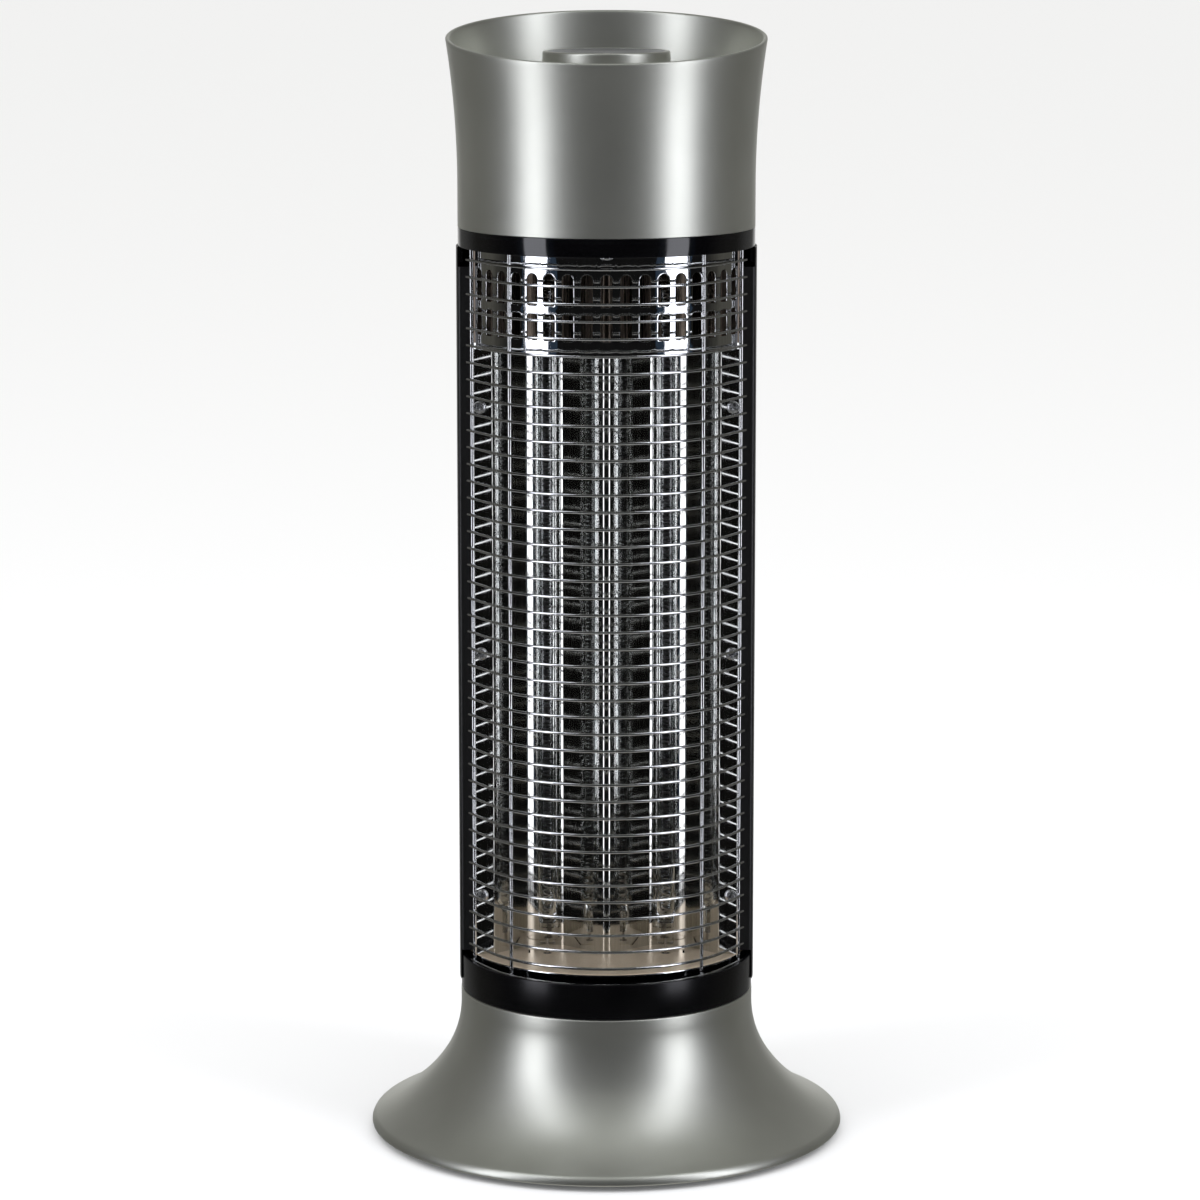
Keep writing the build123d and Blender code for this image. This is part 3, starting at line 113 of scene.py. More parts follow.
def turned(section, steps=192):
    """A closed section turned about the Z axis. section(turn) gives (radius, height) points."""
    rings = [section(2 * pi * step / steps) for step in range(steps)]
    count = len(rings[0])
    points = [
        (radius * cos(2 * pi * step / steps), radius * sin(2 * pi * step / steps), height)
        for step, ring in enumerate(rings)
        for radius, height in ring
    ]
    faces = []
    for step in range(steps):
        here, there = step * count, (step + 1) % steps * count
        for near in range(count):
            far = (near + 1) % count
            faces.append((here + near, there + near, there + far, here + far))
    return points, faces


def strip(path, thickness, low, high):
    """A sheet that stands along a path in plan; its thickness lies to the left of the path."""
    inner = []
    for here, point in enumerate(path):
        before = path[max(here - 1, 0)]
        after = path[min(here + 1, len(path) - 1)]
        along = Vector((after[0] - before[0], after[1] - before[1])).normalized()
        inner.append((point[0] - along.y * thickness, point[1] + along.x * thickness))
    count = len(path)
    points = [(x, y, z) for z in (low, high) for side in (path, inner) for x, y in side]
    faces = []
    for here in range(count - 1):
        for a, b in ((0, 2), (2, 3), (3, 1), (1, 0)):
            faces.append(
                (a * count + here, a * count + here + 1, b * count + here + 1, b * count + here)
            )
    for end in (0, count - 1):
        faces.append((end, 2 * count + end, 3 * count + end, count + end))
    return points, faces


def pulled(outline, low, high, along_y=False):
    """A closed outline in plan pulled up from one height to another, or, in front view, along Y."""
    count = len(outline)
    if along_y:
        points = [(x, y, z) for y in (low, high) for x, z in outline]
    else:
        points = [(x, y, z) for z in (low, high) for x, y in outline]
    faces = [(k, (k + 1) % count, count + (k + 1) % count, count + k) for k in range(count)]
    return points, faces + [tuple(range(count)), tuple(range(count, 2 * count))]


def rod(x, y, radius, low, high, steps=32):
    """An upright rod at a place in plan."""
    return pulled(arc(x, y, radius, 0, 360 - 360 / steps, steps - 1), low, high)


def together(*forms):
    """Several forms as one list of points and one of faces."""
    points, faces = [], []
    for more, walls in forms:
        faces += [tuple(len(points) + k for k in wall) for wall in walls]
        points += more
    return points, faces


print("helpers: arc, turned, strip, pulled, rod, together")

# %% [markdown]
# A form becomes an object in metres. Doubled points are merged first, then the faces are turned
# outwards, and an edge stays sharp only where the surface really folds. `carved` cuts one form
# out of another or joins the two, and `settled` hangs a piece on the body it moves with and hides
# the imported nodes it stands for.


# %% Helpers for objects
def smoothed(mesh, crease=32.0):
    """Shade a mesh smooth, with sharp edges where it folds more than the crease angle."""
    mesh.shade_smooth()
    mesh.set_sharp_from_angle(angle=radians(crease))


def linked(name, data):
    """A new object in the scene."""
    piece = bpy.data.objects.new(name, data)
    bpy.context.scene.collection.objects.link(piece)
    return piece


def made(name, form, finish=None, crease=32.0, hollow=None):
    """An object from a form in millimetres. A hollow is a closed form inside it, facing inwards."""
    mesh = bpy.data.meshes.new(name)
    whole = bmesh.new()
    for points, walls in [form] + ([hollow] if hollow else []):
        part = bmesh.new()
        spots = [part.verts.new([value * MM for value in point]) for point in points]
        for wall in walls:
            part.faces.new([spots[k] for k in wall])
        bmesh.ops.remove_doubles(part, verts=part.verts, dist=0.001 * MM)
        loose = [edge for edge in part.edges if not edge.link_faces]
        bmesh.ops.delete(part, geom=loose, context="EDGES")
        bmesh.ops.recalc_face_normals(part, faces=part.faces)
        if (points, walls) == hollow:
            bmesh.ops.reverse_faces(part, faces=part.faces)
        part.to_mesh(mesh)
        part.free()
        whole.from_mesh(mesh)
    whole.to_mesh(mesh)
    whole.free()
    smoothed(mesh, crease)
    if finish:
        mesh.materials.append(finish)
    return linked(name, mesh)


def applied(piece, crease=32.0):
    """Turn a piece and its modifiers into a plain mesh."""
    graph = bpy.context.evaluated_depsgraph_get()
    mesh = bpy.data.meshes.new_from_object(piece.evaluated_get(graph))
    piece.modifiers.clear()
    mesh.name = piece.name
    piece.data = mesh
    smoothed(mesh, crease)
    return piece


def carved(piece, form, operation="DIFFERENCE"):
    """Cut a form out of a piece, or join it on with UNION."""
    tool = made("tool", form)
    change = piece.modifiers.new("carve", "BOOLEAN")
    change.object = tool
    change.operation = operation
    change.solver = "EXACT"
    applied(piece)
    bpy.data.objects.remove(tool)
    return piece


def settled(piece, body, slot, *nodes):
    """Hang a finished piece on the body it moves with and hide the nodes it stands for."""
    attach(piece, body)
    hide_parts(*nodes)
    triangles = sum(len(face.vertices) - 2 for face in piece.data.polygons)
    print(piece.name, "rides on", body, "with", triangles, "triangles")
    return piece


print("helpers: smoothed, linked, made, applied, carved, settled")

# %% [markdown]
# ## Finishes
#
# Every finish starts from the real material: paint with metal flakes on moulded ABS, powder coat
# on sheet steel, bright chrome on wire, rolled mirror sheet, fused quartz, carbon fibre. One small
# function adds a node, another turns a colour from sRGB hex into the linear values that shaders
# work with, and `finish` draws the grain, tint and relief that most of the materials share. All
# patterns read Object coordinates, which are metres here, so a pattern's scale is one over its
# real size.


# %% Helpers for finishes
def linear(code):
    """A linear colour from an sRGB hex code."""
    values = [int(code[k : k + 2], 16) / 255 for k in (1, 3, 5)]
    channels = [v / 12.92 if v <= 0.04045 else ((v + 0.055) / 1.055) ** 2.4 for v in values]
    return (*channels, 1.0)


def add(tree, kind, inputs=None, **settings):
    """Add a node to a tree, with its settings, and its inputs set or linked."""
    node = tree.nodes.new(kind)
    for name, value in settings.items():
        setattr(node, name, value)
    for socket, value in (inputs or {}).items():
        if isinstance(value, bpy.types.NodeSocket):
            tree.links.new(value, node.inputs[socket])
        else:
            node.inputs[socket].default_value = value
    return node


def surface(name, colour, metallic=0.0, ior=None):
    """A material with one Principled shader; returns the material, its tree and the shader."""
    material = bpy.data.materials.new(name)
    material.use_nodes = True
    shader = material.node_tree.nodes["Principled BSDF"]
    shader.inputs["Base Color"].default_value = linear(colour)
    shader.inputs["Metallic"].default_value = metallic
    if ior:
        shader.inputs["IOR"].default_value = ior
    return material, material.node_tree, shader


def noise(tree, size, detail=2.0, stretch=(1.0, 1.0, 1.0)):
    """Noise whose blotches are about size millimetres, longer where stretch is small."""
    place = add(tree, "ShaderNodeTexCoord").outputs["Object"]
    spread = add(tree, "ShaderNodeMapping", {"Vector": place, "Scale": stretch})
    return add(
        tree,
        "ShaderNodeTexNoise",
        {"Vector": spread.outputs["Vector"], "Scale": 1 / (size * MM), "Detail": detail},
    ).outputs["Fac"]


def between(tree, value, low, high):
    """Spread a noise value over a range."""
    return add(
        tree,
        "ShaderNodeMapRange",
        {"Value": value, "From Min": 0.3, "From Max": 0.7, "To Min": low, "To Max": high},
    ).outputs["Result"]


def relief(tree, shader, height, depth, strength=1.0):
    """Raise a surface by a pattern, depth in millimetres from its lowest to its highest value."""
    bump = add(
        tree,
        "ShaderNodeBump",
        {"Height": height, "Distance": depth * MM, "Strength": strength},
    )
    tree.links.new(bump.outputs["Normal"], shader.inputs["Normal"])


def tinted(tree, shader, value, low, high):
    """Vary the base colour between two hex colours."""
    mix = add(
        tree,
        "ShaderNodeMix",
        {0: value, 6: linear(low), 7: linear(high)},
        data_type="RGBA",
    )
    tree.links.new(mix.outputs[2], shader.inputs["Base Color"])


def finish(
    name, colour, tints, rough, grain, depth=0.0, tone=None, height=None, spread=False, **kind
):
    """A patterned material: its grain, a (size, detail, stretch) noise, sets the roughness.

    The grain also sets the tint and the relief, unless tone and height give noises of their own.
    With spread, the tint runs the whole way from one colour to the other. Sizes are millimetres.
    """
    material, tree, shader = surface(name, colour, **kind)
    pattern = noise(tree, *grain)
    tree.links.new(between(tree, pattern, *rough), shader.inputs["Roughness"])
    shade = noise(tree, *tone) if tone else pattern
    tinted(tree, shader, between(tree, shade, 0.0, 1.0) if spread else shade, *tints)
    if depth:
        relief(tree, shader, noise(tree, *height) if height else pattern, depth)
    return material


print("helpers: linear, add, surface, noise, between, relief, tinted, finish")

# %% [markdown]
# ### Paint, powder coat and plastics
#
# The paints are clear binders full of aluminium flakes, which make them shine like metal. The
# flakes are about 0.05 mm wide, too fine to show, so their pattern is drawn at 0.5 mm. Black ABS
# comes glossy from a polished mould, and the sheet steel is powder coated. Nylon, acetal and rubber
# are matt. Their moulds were spark eroded, to a grain that is drawn 0.6 to 1.2 mm wide.

# %% Paint, powder coat and plastics
# Silver paint on moulded ABS: its flakes lie a little unevenly, so its highlights are broad.
silver_paint = finish(
    "silver_paint", "#CFD0C7", tints=("#CBCCC3", "#D3D4CB"), rough=(0.35, 0.42),
    grain=(0.5, 1.0), depth=0.004, tone=(45.0,), spread=True, metallic=0.97,
)
# Grey paint with more pigment: darker, and a little smoother.
cap_paint = finish(
    "cap_paint", "#7B7C7E", tints=("#77787A", "#7F8082"), rough=(0.30, 0.38),
    grain=(0.5, 1.0), depth=0.004, tone=(12.0,), spread=True, metallic=1.0,
)


def moulded_black(name, rough, gloss):
    """Black ABS as it leaves the mould: sharp reflections behind a faint haze."""
    material = finish(
        name, "#040405", tints=("#030304", "#060607"), rough=rough,
        grain=(25.0, 4.0), depth=0.003, height=(9.0,), spread=True, ior=1.53,
    )
    shader = material.node_tree.nodes["Principled BSDF"]
    shader.inputs["Specular IOR Level"].default_value = gloss
    return material


# The upper collar keeps the mould's gloss, and the lower one has lost some of it to handling.
black_abs = moulded_black("black_abs", (0.05, 0.11), 0.5)
worn_black_abs = moulded_black("worn_black_abs", (0.20, 0.26), 0.3)
# Powder coat flows as it cures, which leaves the fine waves that painters call orange peel.
powder_coat = finish(
    "powder_coat", "#121213", tints=("#0B0B0C", "#101011"), rough=(0.34, 0.44),
    grain=(1.0, 1.5), depth=0.02, tone=(30.0,), spread=True, ior=1.5,
)
# Black nylon, glass filled: matt and grainy.
black_nylon = finish(
    "black_nylon", "#151516", tints=("#121213", "#1A1A1B"), rough=(0.42, 0.55),
    grain=(0.6,), depth=0.02, ior=1.53,
)
# Cream nylon, unfilled: a warm white with a soft sheen.
cream_nylon = finish(
    "cream_nylon", "#DDD9CC", tints=("#D8D3C5", "#E2DED2"), rough=(0.38, 0.5),
    grain=(0.7,), depth=0.015, tone=(8.0,), ior=1.53,
)
# Natural acetal: whiter and slicker than nylon, as bearings are.
white_acetal = finish(
    "white_acetal", "#EAEAE6", tints=("#E4E4DF", "#EFEFEC"), rough=(0.28, 0.38),
    grain=(1.2,), depth=0.008, tone=(10.0,), ior=1.48,
)
# Moulded rubber: almost no shine.
foot_rubber = finish(
    "foot_rubber", "#1B1B1B", tints=("#161616", "#232322"), rough=(0.7, 0.85),
    grain=(0.9, 4.0), depth=0.04, ior=1.52,
)
print("paint, powder coat and plastics are ready")

# %% [markdown]
# ### Metals
#
# The sheet of the reflector and of the slotted panel is bright rolled aluminium: a mirror, but
# rolling leaves lines along it and a thin sheet is never quite flat, so its reflections waver.
# Every metal keeps the shader's default index of refraction.


# %% Metals
def rolled_sheet(name, tints, rough, depth, metallic=1.0):
    """Rolled sheet, with upright rolling lines 0.8 mm apart and a waver 35 mm long."""
    return finish(
        name, tints[1], tints=tints, rough=rough, grain=(0.8, 2.0, (1.0, 1.0, 0.02)),
        depth=depth, height=(35.0, 0.0), spread=True, metallic=metallic,
    )


# Bright sheet: the reflector hangs free and wavers more than the panel, which is the clearer.
mirror_sheet = rolled_sheet("mirror_sheet", ("#C6C6C1", "#D8D8D3"), (0.05, 0.10), 0.012)
panel_sheet = rolled_sheet("panel_sheet", ("#DCDDDE", "#EBECED"), (0.03, 0.06), 0.01)
# The chamber's floor, which heat has tinted to straw and robbed of its shine.
straw_sheet = rolled_sheet("straw_sheet", ("#CDBBA2", "#DDCDB6"), (0.34, 0.42), 0.02, metallic=0.6)
# A dim brown, dull sheet that paints the shade behind the slots, so that the slots look dark.
dull_sheet = rolled_sheet("dull_sheet", ("#4A433B", "#6A6056"), (0.22, 0.34), 0.02)
# Bright chrome on drawn wire: a mirror with tiny dull spots.
chrome = finish(
    "chrome", "#DADBDC", tints=("#CFD0D1", "#E4E5E6"), rough=(0.08, 0.18),
    grain=(2.0, 3.0), depth=0.006, metallic=1.0,
)
# Zinc plate on screws: a softer grey, with the spangle of the bath.
zinc = finish(
    "zinc", "#C3C4C5", tints=("#B5B6B7", "#CFD0D1"), rough=(0.2, 0.34),
    grain=(1.5,), depth=0.008, metallic=1.0,
)
# Zinc plate on sheet: larger spangle, over the lines that rolling left.
zinc_plate = finish(
    "zinc_plate", "#A7A9AA", tints=("#9C9EA0", "#B2B4B5"), rough=(0.3, 0.45),
    grain=(6.0,), depth=0.006, height=(0.6, 2.0, (0.05, 1.0, 1.0)), spread=True, metallic=1.0,
)
# The motor's plated can: drawn steel, satin.
motor_plating = finish(
    "motor_plating", "#B8B9BA", tints=("#ABACAE", "#C4C5C6"), rough=(0.28, 0.4),
    grain=(3.0,), depth=0.01, metallic=1.0,
)
# Nickel wire that has been hot: brownish, with a scale of oxide.
nickel = finish(
    "nickel", "#A39C92", tints=("#8E867C", "#B4ADA3"), rough=(0.25, 0.45),
    grain=(0.8, 3.0), depth=0.01, metallic=1.0,
)
# Spring wire: drawn steel with a thin film of oil.
spring_wire = finish(
    "spring_wire", "#8F9092", tints=("#848587", "#9A9B9D"), rough=(0.24, 0.36),
    grain=(0.5,), metallic=1.0,
)
print("metals are ready")

# %% [markdown]
# ### Quartz, carbon and ceramic
#
# A carbon lamp is fused quartz round a wound tow of carbon fibre. The fibres are 0.007 mm thick,
# so the tow's streaks stand for bundles of them, 0.3 mm apart.

# %% Quartz, carbon and ceramic
# Fused quartz: clear, bends light less than window glass, and keeps faint lines from drawing.
quartz, tree, shader = surface("quartz", "#F6F8F8", ior=1.46)
shader.inputs["Transmission Weight"].default_value = 1.0
draw_lines = noise(tree, 1.0, stretch=(1.0, 1.0, 0.01))
tree.links.new(between(tree, draw_lines, 0.0, 0.02), shader.inputs["Roughness"])
relief(tree, shader, draw_lines, 0.004)
# Carbon fibre: matt black, with a grey glint where bundles catch the light.
carbon_tow = finish(
    "carbon_tow", "#141313", tints=("#0C0B0B", "#2E2826"), rough=(0.3, 0.55),
    grain=(0.3, 3.0, (1.0, 1.0, 0.4)), depth=0.08, spread=True, ior=1.6,
)
# Dark fired steatite: dry and finely granular.
steatite = finish(
    "steatite", "#3A3733", tints=("#33302D", "#433F3A"), rough=(0.5, 0.65),
    grain=(0.5, 3.0), depth=0.02, ior=1.6,
)
# Braided glass sleeve on the leads: off-white, with a 1.2 mm weave.
glass_sleeve, tree, shader = surface("glass_sleeve", "#D9D6CA", ior=1.5)
place = add(tree, "ShaderNodeTexCoord").outputs["Object"]
weave = add(
    tree,
    "ShaderNodeTexVoronoi",
    {"Vector": place, "Scale": 1 / (1.2 * MM), "Randomness": 0.35},
).outputs["Distance"]
tinted(tree, shader, weave, "#E6E3D8", "#B9B5A7")
shader.inputs["Roughness"].default_value = 0.7
relief(tree, shader, weave, 0.15)
print("quartz, carbon, ceramic and sleeve are ready")

# %% [markdown]
# ## Geometry Nodes for what repeats
#
# Wires, screws, slots and windings repeat by a rule, so a Geometry Nodes tree makes them: one copy
# is drawn and the tree sets out the rest. Each tree has named inputs for its sizes and ends in
# Realize Instances and Set Material. `grow` runs a tree on a piece and keeps the plain result, and
# `grown` starts a new piece for it.


# %% Helpers for trees
def new_tree(name, *sizes):
    """A Geometry Nodes tree with an input for each (label, kind), and its group input."""
    tree = bpy.data.node_groups.new(name, "GeometryNodeTree")
    tree.interface.new_socket("Geometry", in_out="INPUT", socket_type="NodeSocketGeometry")
    for label, kind in sizes:
        tree.interface.new_socket(label, in_out="INPUT", socket_type="NodeSocket" + kind)
    tree.interface.new_socket("Geometry", in_out="OUTPUT", socket_type="NodeSocketGeometry")
    return tree, add(tree, "NodeGroupInput").outputs


def close_tree(tree, given, geometry):
    """End a tree: realize what it set out and give it the finish."""
    real = add(tree, "GeometryNodeRealizeInstances", {"Geometry": geometry})
    dressed = add(
        tree,
        "GeometryNodeSetMaterial",
        {"Geometry": real.outputs["Geometry"], "Material": given["Finish"]},
    )
    add(tree, "NodeGroupOutput", {"Geometry": dressed.outputs["Geometry"]})


def grow(piece, tree, crease=32.0, **values):
    """Run a tree on a piece, with its inputs set by their names, and keep the plain result."""
    change = piece.modifiers.new("grow", "NODES")
    change.node_group = tree
    for socket in tree.interface.items_tree:
        label = socket.name.replace(" ", "_").lower()
        if socket.in_out == "INPUT" and label in values:
            change[socket.identifier] = values[label]
    return applied(piece, crease)


def grown(name, tree, seed_form, crease=32.0, axes=(), **values):
    """Grow a new piece from a form in millimetres, with an axis for each of its points."""
    points, edges, faces = seed_form
    mesh = bpy.data.meshes.new(name)
    mesh.from_pydata([[value * MM for value in point] for point in points], edges, faces)
    if axes:
        field = mesh.attributes.new("axis", "FLOAT_VECTOR", "POINT")
        for here, way in enumerate(axes):
            field.data[here].vector = way
    return grow(linked(name, mesh), tree, crease, **values)


def chain(points):
    """A row of points joined by edges, for a tree that draws wire."""
    return points, [(k, k + 1) for k in range(len(points) - 1)], []


print("helpers: new_tree, close_tree, grow, grown, chain")

# %% [markdown]
# The first tree draws wire: it sweeps a circle along a chain of points and stacks copies of it. A
# bevelled curve would do for one wire, but the tree keeps the pitch and the count as inputs.

# %% Tree that draws wire
drawn_wire, given = new_tree(
    "drawn_wire",
    ("Wire radius", "Float"),
    ("Sides", "Int"),
    ("Copies", "Int"),
    ("Pitch", "Vector"),
    ("Finish", "Material"),
)
line = add(drawn_wire, "GeometryNodeMeshToCurve", {"Mesh": given["Geometry"]})
ring = add(
    drawn_wire,
    "GeometryNodeCurvePrimitiveCircle",
    {"Resolution": given["Sides"], "Radius": given["Wire radius"]},
)
wire = add(
    drawn_wire,
    "GeometryNodeCurveToMesh",
    {
        "Curve": line.outputs["Curve"],
        "Profile Curve": ring.outputs["Curve"],
        "Fill Caps": True,
    },
)
stack = add(
    drawn_wire,
    "GeometryNodeMeshLine",
    {"Count": given["Copies"], "Offset": given["Pitch"]},
)
copies = add(
    drawn_wire,
    "GeometryNodeInstanceOnPoints",
    {"Points": stack.outputs["Mesh"], "Instance": wire.outputs["Mesh"]},
)
close_tree(drawn_wire, given, copies.outputs["Instances"])

print("tree:", drawn_wire.name)

# %% [markdown]
# The second tree sets out copies of one object, such as a screw, at a list of spots. Every spot
# carries an axis as an attribute, and the copy is turned so that its own Z axis follows it.

# %% Tree that sets out copies
set_out, given = new_tree("set_out", ("Part", "Object"), ("Finish", "Material"))
axis = add(
    set_out, "GeometryNodeInputNamedAttribute", {"Name": "axis"}, data_type="FLOAT_VECTOR"
)
turn = add(
    set_out,
    "FunctionNodeAlignRotationToVector",
    {"Vector": axis.outputs["Attribute"]},
    axis="Z",
)
part = add(set_out, "GeometryNodeObjectInfo", {"Object": given["Part"]})
copies = add(
    set_out,
    "GeometryNodeInstanceOnPoints",
    {
        "Points": given["Geometry"],
        "Instance": part.outputs["Geometry"],
        "Rotation": turn.outputs["Rotation"],
    },
)
close_tree(set_out, given, copies.outputs["Instances"])


def placed(name, part, finish, spots):
    """Copies of a part at (place, axis) spots in millimetres."""
    places, axes = zip(*spots)
    piece = grown(name, set_out, (places, [], []), axes=axes, part=part, finish=finish)
    if "axis" in piece.data.attributes:
        piece.data.attributes.remove(piece.data.attributes["axis"])
    return piece


print("tree:", set_out.name)

# %% [markdown]
# ## Base
#
# The base is one moulding shaped like a trumpet's bell. It could be modelled with a subdivision
# surface, but its section is two plain arcs and a rounded rim, so it is turned from that section:
# every highlight then runs evenly round it. The deck, and the boss that the tower turns in, are in
# the same section.

# %% Base
base_low, base_high = span("base_shell")
base_r = base_high.x
neck_top = base_high.z
foot_h = base_low.z
ring_low, ring_high = span("lower_ring")
ring_r = ring_high.x
neck_r = ring_r + 0.2
flare_top = 71.0
flare_turn = 33.0
flare_r1 = 57.0
flare_r2 = 86.0
shell_wall = 2.8
deck_t = 3.0
rim_round = 4.5
lip_round = 1.0
neck_round = 0.8
boss_r = 21.0
bore_r = 16.05
boss_h = 9.5
gland_hole_r = 5.25

c1 = Vector((neck_r + flare_r1, flare_top))
c2 = c1 + (flare_r2 - flare_r1) * Vector((cos(radians(flare_turn)), sin(radians(flare_turn))))
rim_x = base_r - rim_round
rim_z = c2.y - sqrt((flare_r2 + rim_round) ** 2 - (c2.x - rim_x) ** 2)
rim_turn = degrees(atan2(c2.y - rim_z, c2.x - rim_x))
deck_bottom = neck_top - deck_t
inner_r2 = flare_r2 + shell_wall
inner_turn = degrees(acos((c2.x - base_r + shell_wall) / inner_r2))

base_section = (
    [(bore_r, neck_top)]
    + arc(neck_r - neck_round, neck_top - neck_round, neck_round, 90, 0, 6)
    + arc(c1.x, c1.y, flare_r1, 180, 180 + flare_turn, 28)
    + arc(c2.x, c2.y, flare_r2, 180 + flare_turn, 180 + rim_turn, 34)[1:]
    + arc(rim_x, rim_z, rim_round, rim_turn, 0, 12)[1:]
    + arc(base_r - lip_round, foot_h + lip_round, lip_round, 0, -90, 6)
    + [(base_r - shell_wall, foot_h)]
    + arc(c2.x, c2.y, inner_r2, 180 + inner_turn, 180 + flare_turn, 16)
    + arc(c1.x, c1.y, flare_r1 + shell_wall, 180 + flare_turn, 180, 12)[1:]
    + [(neck_r - shell_wall, deck_bottom), (boss_r, deck_bottom)]
    + [(boss_r, deck_bottom - boss_h), (bore_r, deck_bottom - boss_h)]
)
silver_base = made("silver_base", turned(lambda turn: base_section, 256), silver_paint)
print("base:", len(base_section), "points in the section, rim", 2 * base_r, "mm across")

# %% [markdown]
# Five posts take the screws of the base plate, two carry the motor, and a peg stops the gear at the
# ends of the swing. Each is a plain rod joined on with a boolean, and the hole for the cord's gland
# is cut in the same way. The five posts end inside the flare's wall, so their tops follow it.


# %% Posts, peg and the gland's hole
def under_flare(radius):
    """Height of the middle of the base's wall at a radius, in its lower arc."""
    return c2.y - sqrt((flare_r2 + shell_wall / 2) ** 2 - (c2.x - radius) ** 2)


post_r = 4.5
post_in = 21.7
post_foot = span("base_plate")[1].z
base_posts = arc(0, 0, base_r - post_in, 126, 414, 4)
for x, y in base_posts:
    points, walls = rod(x, y, post_r, post_foot, post_foot + 1, 24)
    top = [
        (px, py, under_flare(sqrt(px * px + py * py)) if pz > post_foot else pz)
        for px, py, pz in points
    ]
    carved(silver_base, (top, walls), "UNION")
motor_low, motor_high = span("swing_motor")
motor_x = (motor_low.x + motor_high.x) / 2
for x, y, radius, low in (
    (motor_x, -31.0, 5.0, motor_high.z),
    (motor_x, 31.0, 5.0, motor_high.z),
    (30.0, 0.0, 3.0, span("swing_gear")[0].z - 1),
):
    carved(silver_base, rod(x, y, radius, low, deck_bottom + 1), "UNION")
gland_low, gland_high = span("cord_gland")
gland_z = (gland_low.z + gland_high.z) / 2
gland_hole = [(x, gland_z + z) for x, z in arc(0, 0, gland_hole_r, 0, 350, 35)]
carved(silver_base, pulled(gland_hole, gland_low.y, gland_high.y, along_y=True))
settled(silver_base, "base", "satin_silver", "base_shell")

# %% [markdown]
# ## Collars
#
# The lower collar carries the tower and ends in the hub that turns in the base; the upper collar
# closes the housing under the head. Both are turned. Their outer edges get a small radius, because
# on gloss black a bright line along an edge is what shows the form.

# %% Collars
wall = 2.2
ring_bottom = neck_top + 0.4
ring_top = ring_high.z
ring_floor = ring_bottom + 10.6
floor_t = 3.0
hub_bottom = ring_low.z
hub_r = 16.0
hub_bore_r = 11.0
shoulder_r = 24.0
shoulder_z = neck_top + 1.5
edge = 0.6
inner_r = ring_r - wall

lower_section = (
    arc(ring_r - edge, ring_top - edge, edge, 90, 0, 6)
    + arc(ring_r - edge / 2, ring_bottom + edge / 2, edge / 2, 0, -90, 4)
    + [(inner_r, ring_bottom), (inner_r, ring_floor - floor_t)]
    + [(shoulder_r, ring_floor - floor_t), (shoulder_r, shoulder_z), (hub_r, shoulder_z)]
    + [(hub_r, hub_bottom), (hub_bore_r, hub_bottom), (hub_bore_r, ring_floor)]
    + [(inner_r, ring_floor), (inner_r, ring_top - 0.2), (inner_r + 0.2, ring_top)]
)
lower_collar = made("lower_collar", turned(lambda turn: lower_section, 224), worn_black_abs)
plate_low, plate_high = span("bottom_plate")
sheet_t = 0.6
chamber_floor = plate_high.z
panel_spots = [(-62.0, 18.0), (62.0, 18.0)]
for x, y in panel_spots:
    carved(lower_collar, rod(x, y, 3.5, ring_floor - 1, chamber_floor - sheet_t), "UNION")
settled(lower_collar, "tower", "gloss_black", "lower_ring")

spigot_low, band_high = span("upper_ring")
spigot_h = 8.0
band_bottom = spigot_low.z + spigot_h
band_top = band_high.z
deck_low = band_bottom + 0.7
deck_high = deck_low + 3.0
deck_r = 60.0
upper_section = (
    arc(ring_r - edge / 2, band_top - edge / 2, edge / 2, 90, 0, 4)
    + arc(ring_r - edge / 2, band_bottom + edge / 2, edge / 2, 0, -90, 4)
    + [(inner_r, band_bottom), (inner_r, deck_low), (deck_r, deck_low), (deck_r, deck_high)]
    + [(inner_r, deck_high), (inner_r, band_top)]
)
upper_collar = made("upper_collar", turned(lambda turn: upper_section, 224), black_abs)
spigot_front = 11.8
spigot_in = 0.15
spigot_turn = degrees(asin(spigot_front / ring_r))
spigot = strip(
    arc(0, 0, ring_r - spigot_in, -spigot_turn, 180 + spigot_turn, 96),
    wall - 2 * spigot_in,
    spigot_low.z,
    band_bottom + 0.3,
)
carved(upper_collar, spigot, "UNION")
settled(upper_collar, "tower", "gloss_black", "upper_ring")

# %% [markdown]
# ## Housing
#
# One steel sheet, rolled to a C and folded in at the front, makes the tower's back and sides. Its
# path in plan is arcs and two short lips, and the strip helper gives it its 0.8 mm thickness. The
# lips are cut away at both ends, where the collars stand.

# %% Housing
housing_low, housing_high = span("rear_housing")
housing_r = housing_high.x
housing_t = 0.8
housing_bend = 2.0
lip_y = housing_low.y
lip_length = 15.5
lip_end_x = housing_r - lip_length
bend_y = lip_y + housing_bend
bend_x = sqrt((housing_r - housing_bend) ** 2 - bend_y**2)
bend_turn = degrees(atan2(-bend_y, bend_x))
housing_path = (
    [(lip_end_x, lip_y)]
    + arc(bend_x, bend_y, housing_bend, -90, -bend_turn, 8)
    + arc(0, 0, housing_r, -bend_turn, 180 + bend_turn, 160)[1:]
    + arc(-bend_x, bend_y, housing_bend, 180 + bend_turn, 270, 8)[1:]
    + [(-lip_end_x, lip_y)]
)
housing_sheet = made(
    "housing_sheet",
    strip(housing_path, housing_t, housing_low.z, housing_high.z),
    powder_coat,
)
lip_cut_x = housing_r - housing_t - 0.4
lip_cut_z = 2.6
block = [(-lip_cut_x, lip_y - 2), (lip_cut_x, lip_y - 2)]
block += [(lip_cut_x, lip_y + 1.6), (-lip_cut_x, lip_y + 1.6)]
for low, high in (
    (housing_low.z - 1, ring_top + lip_cut_z),
    (spigot_low.z - lip_cut_z, housing_high.z + 1),
):
    carved(housing_sheet, pulled(block, low, high))
print("housing:", len(housing_path), "points in its path")

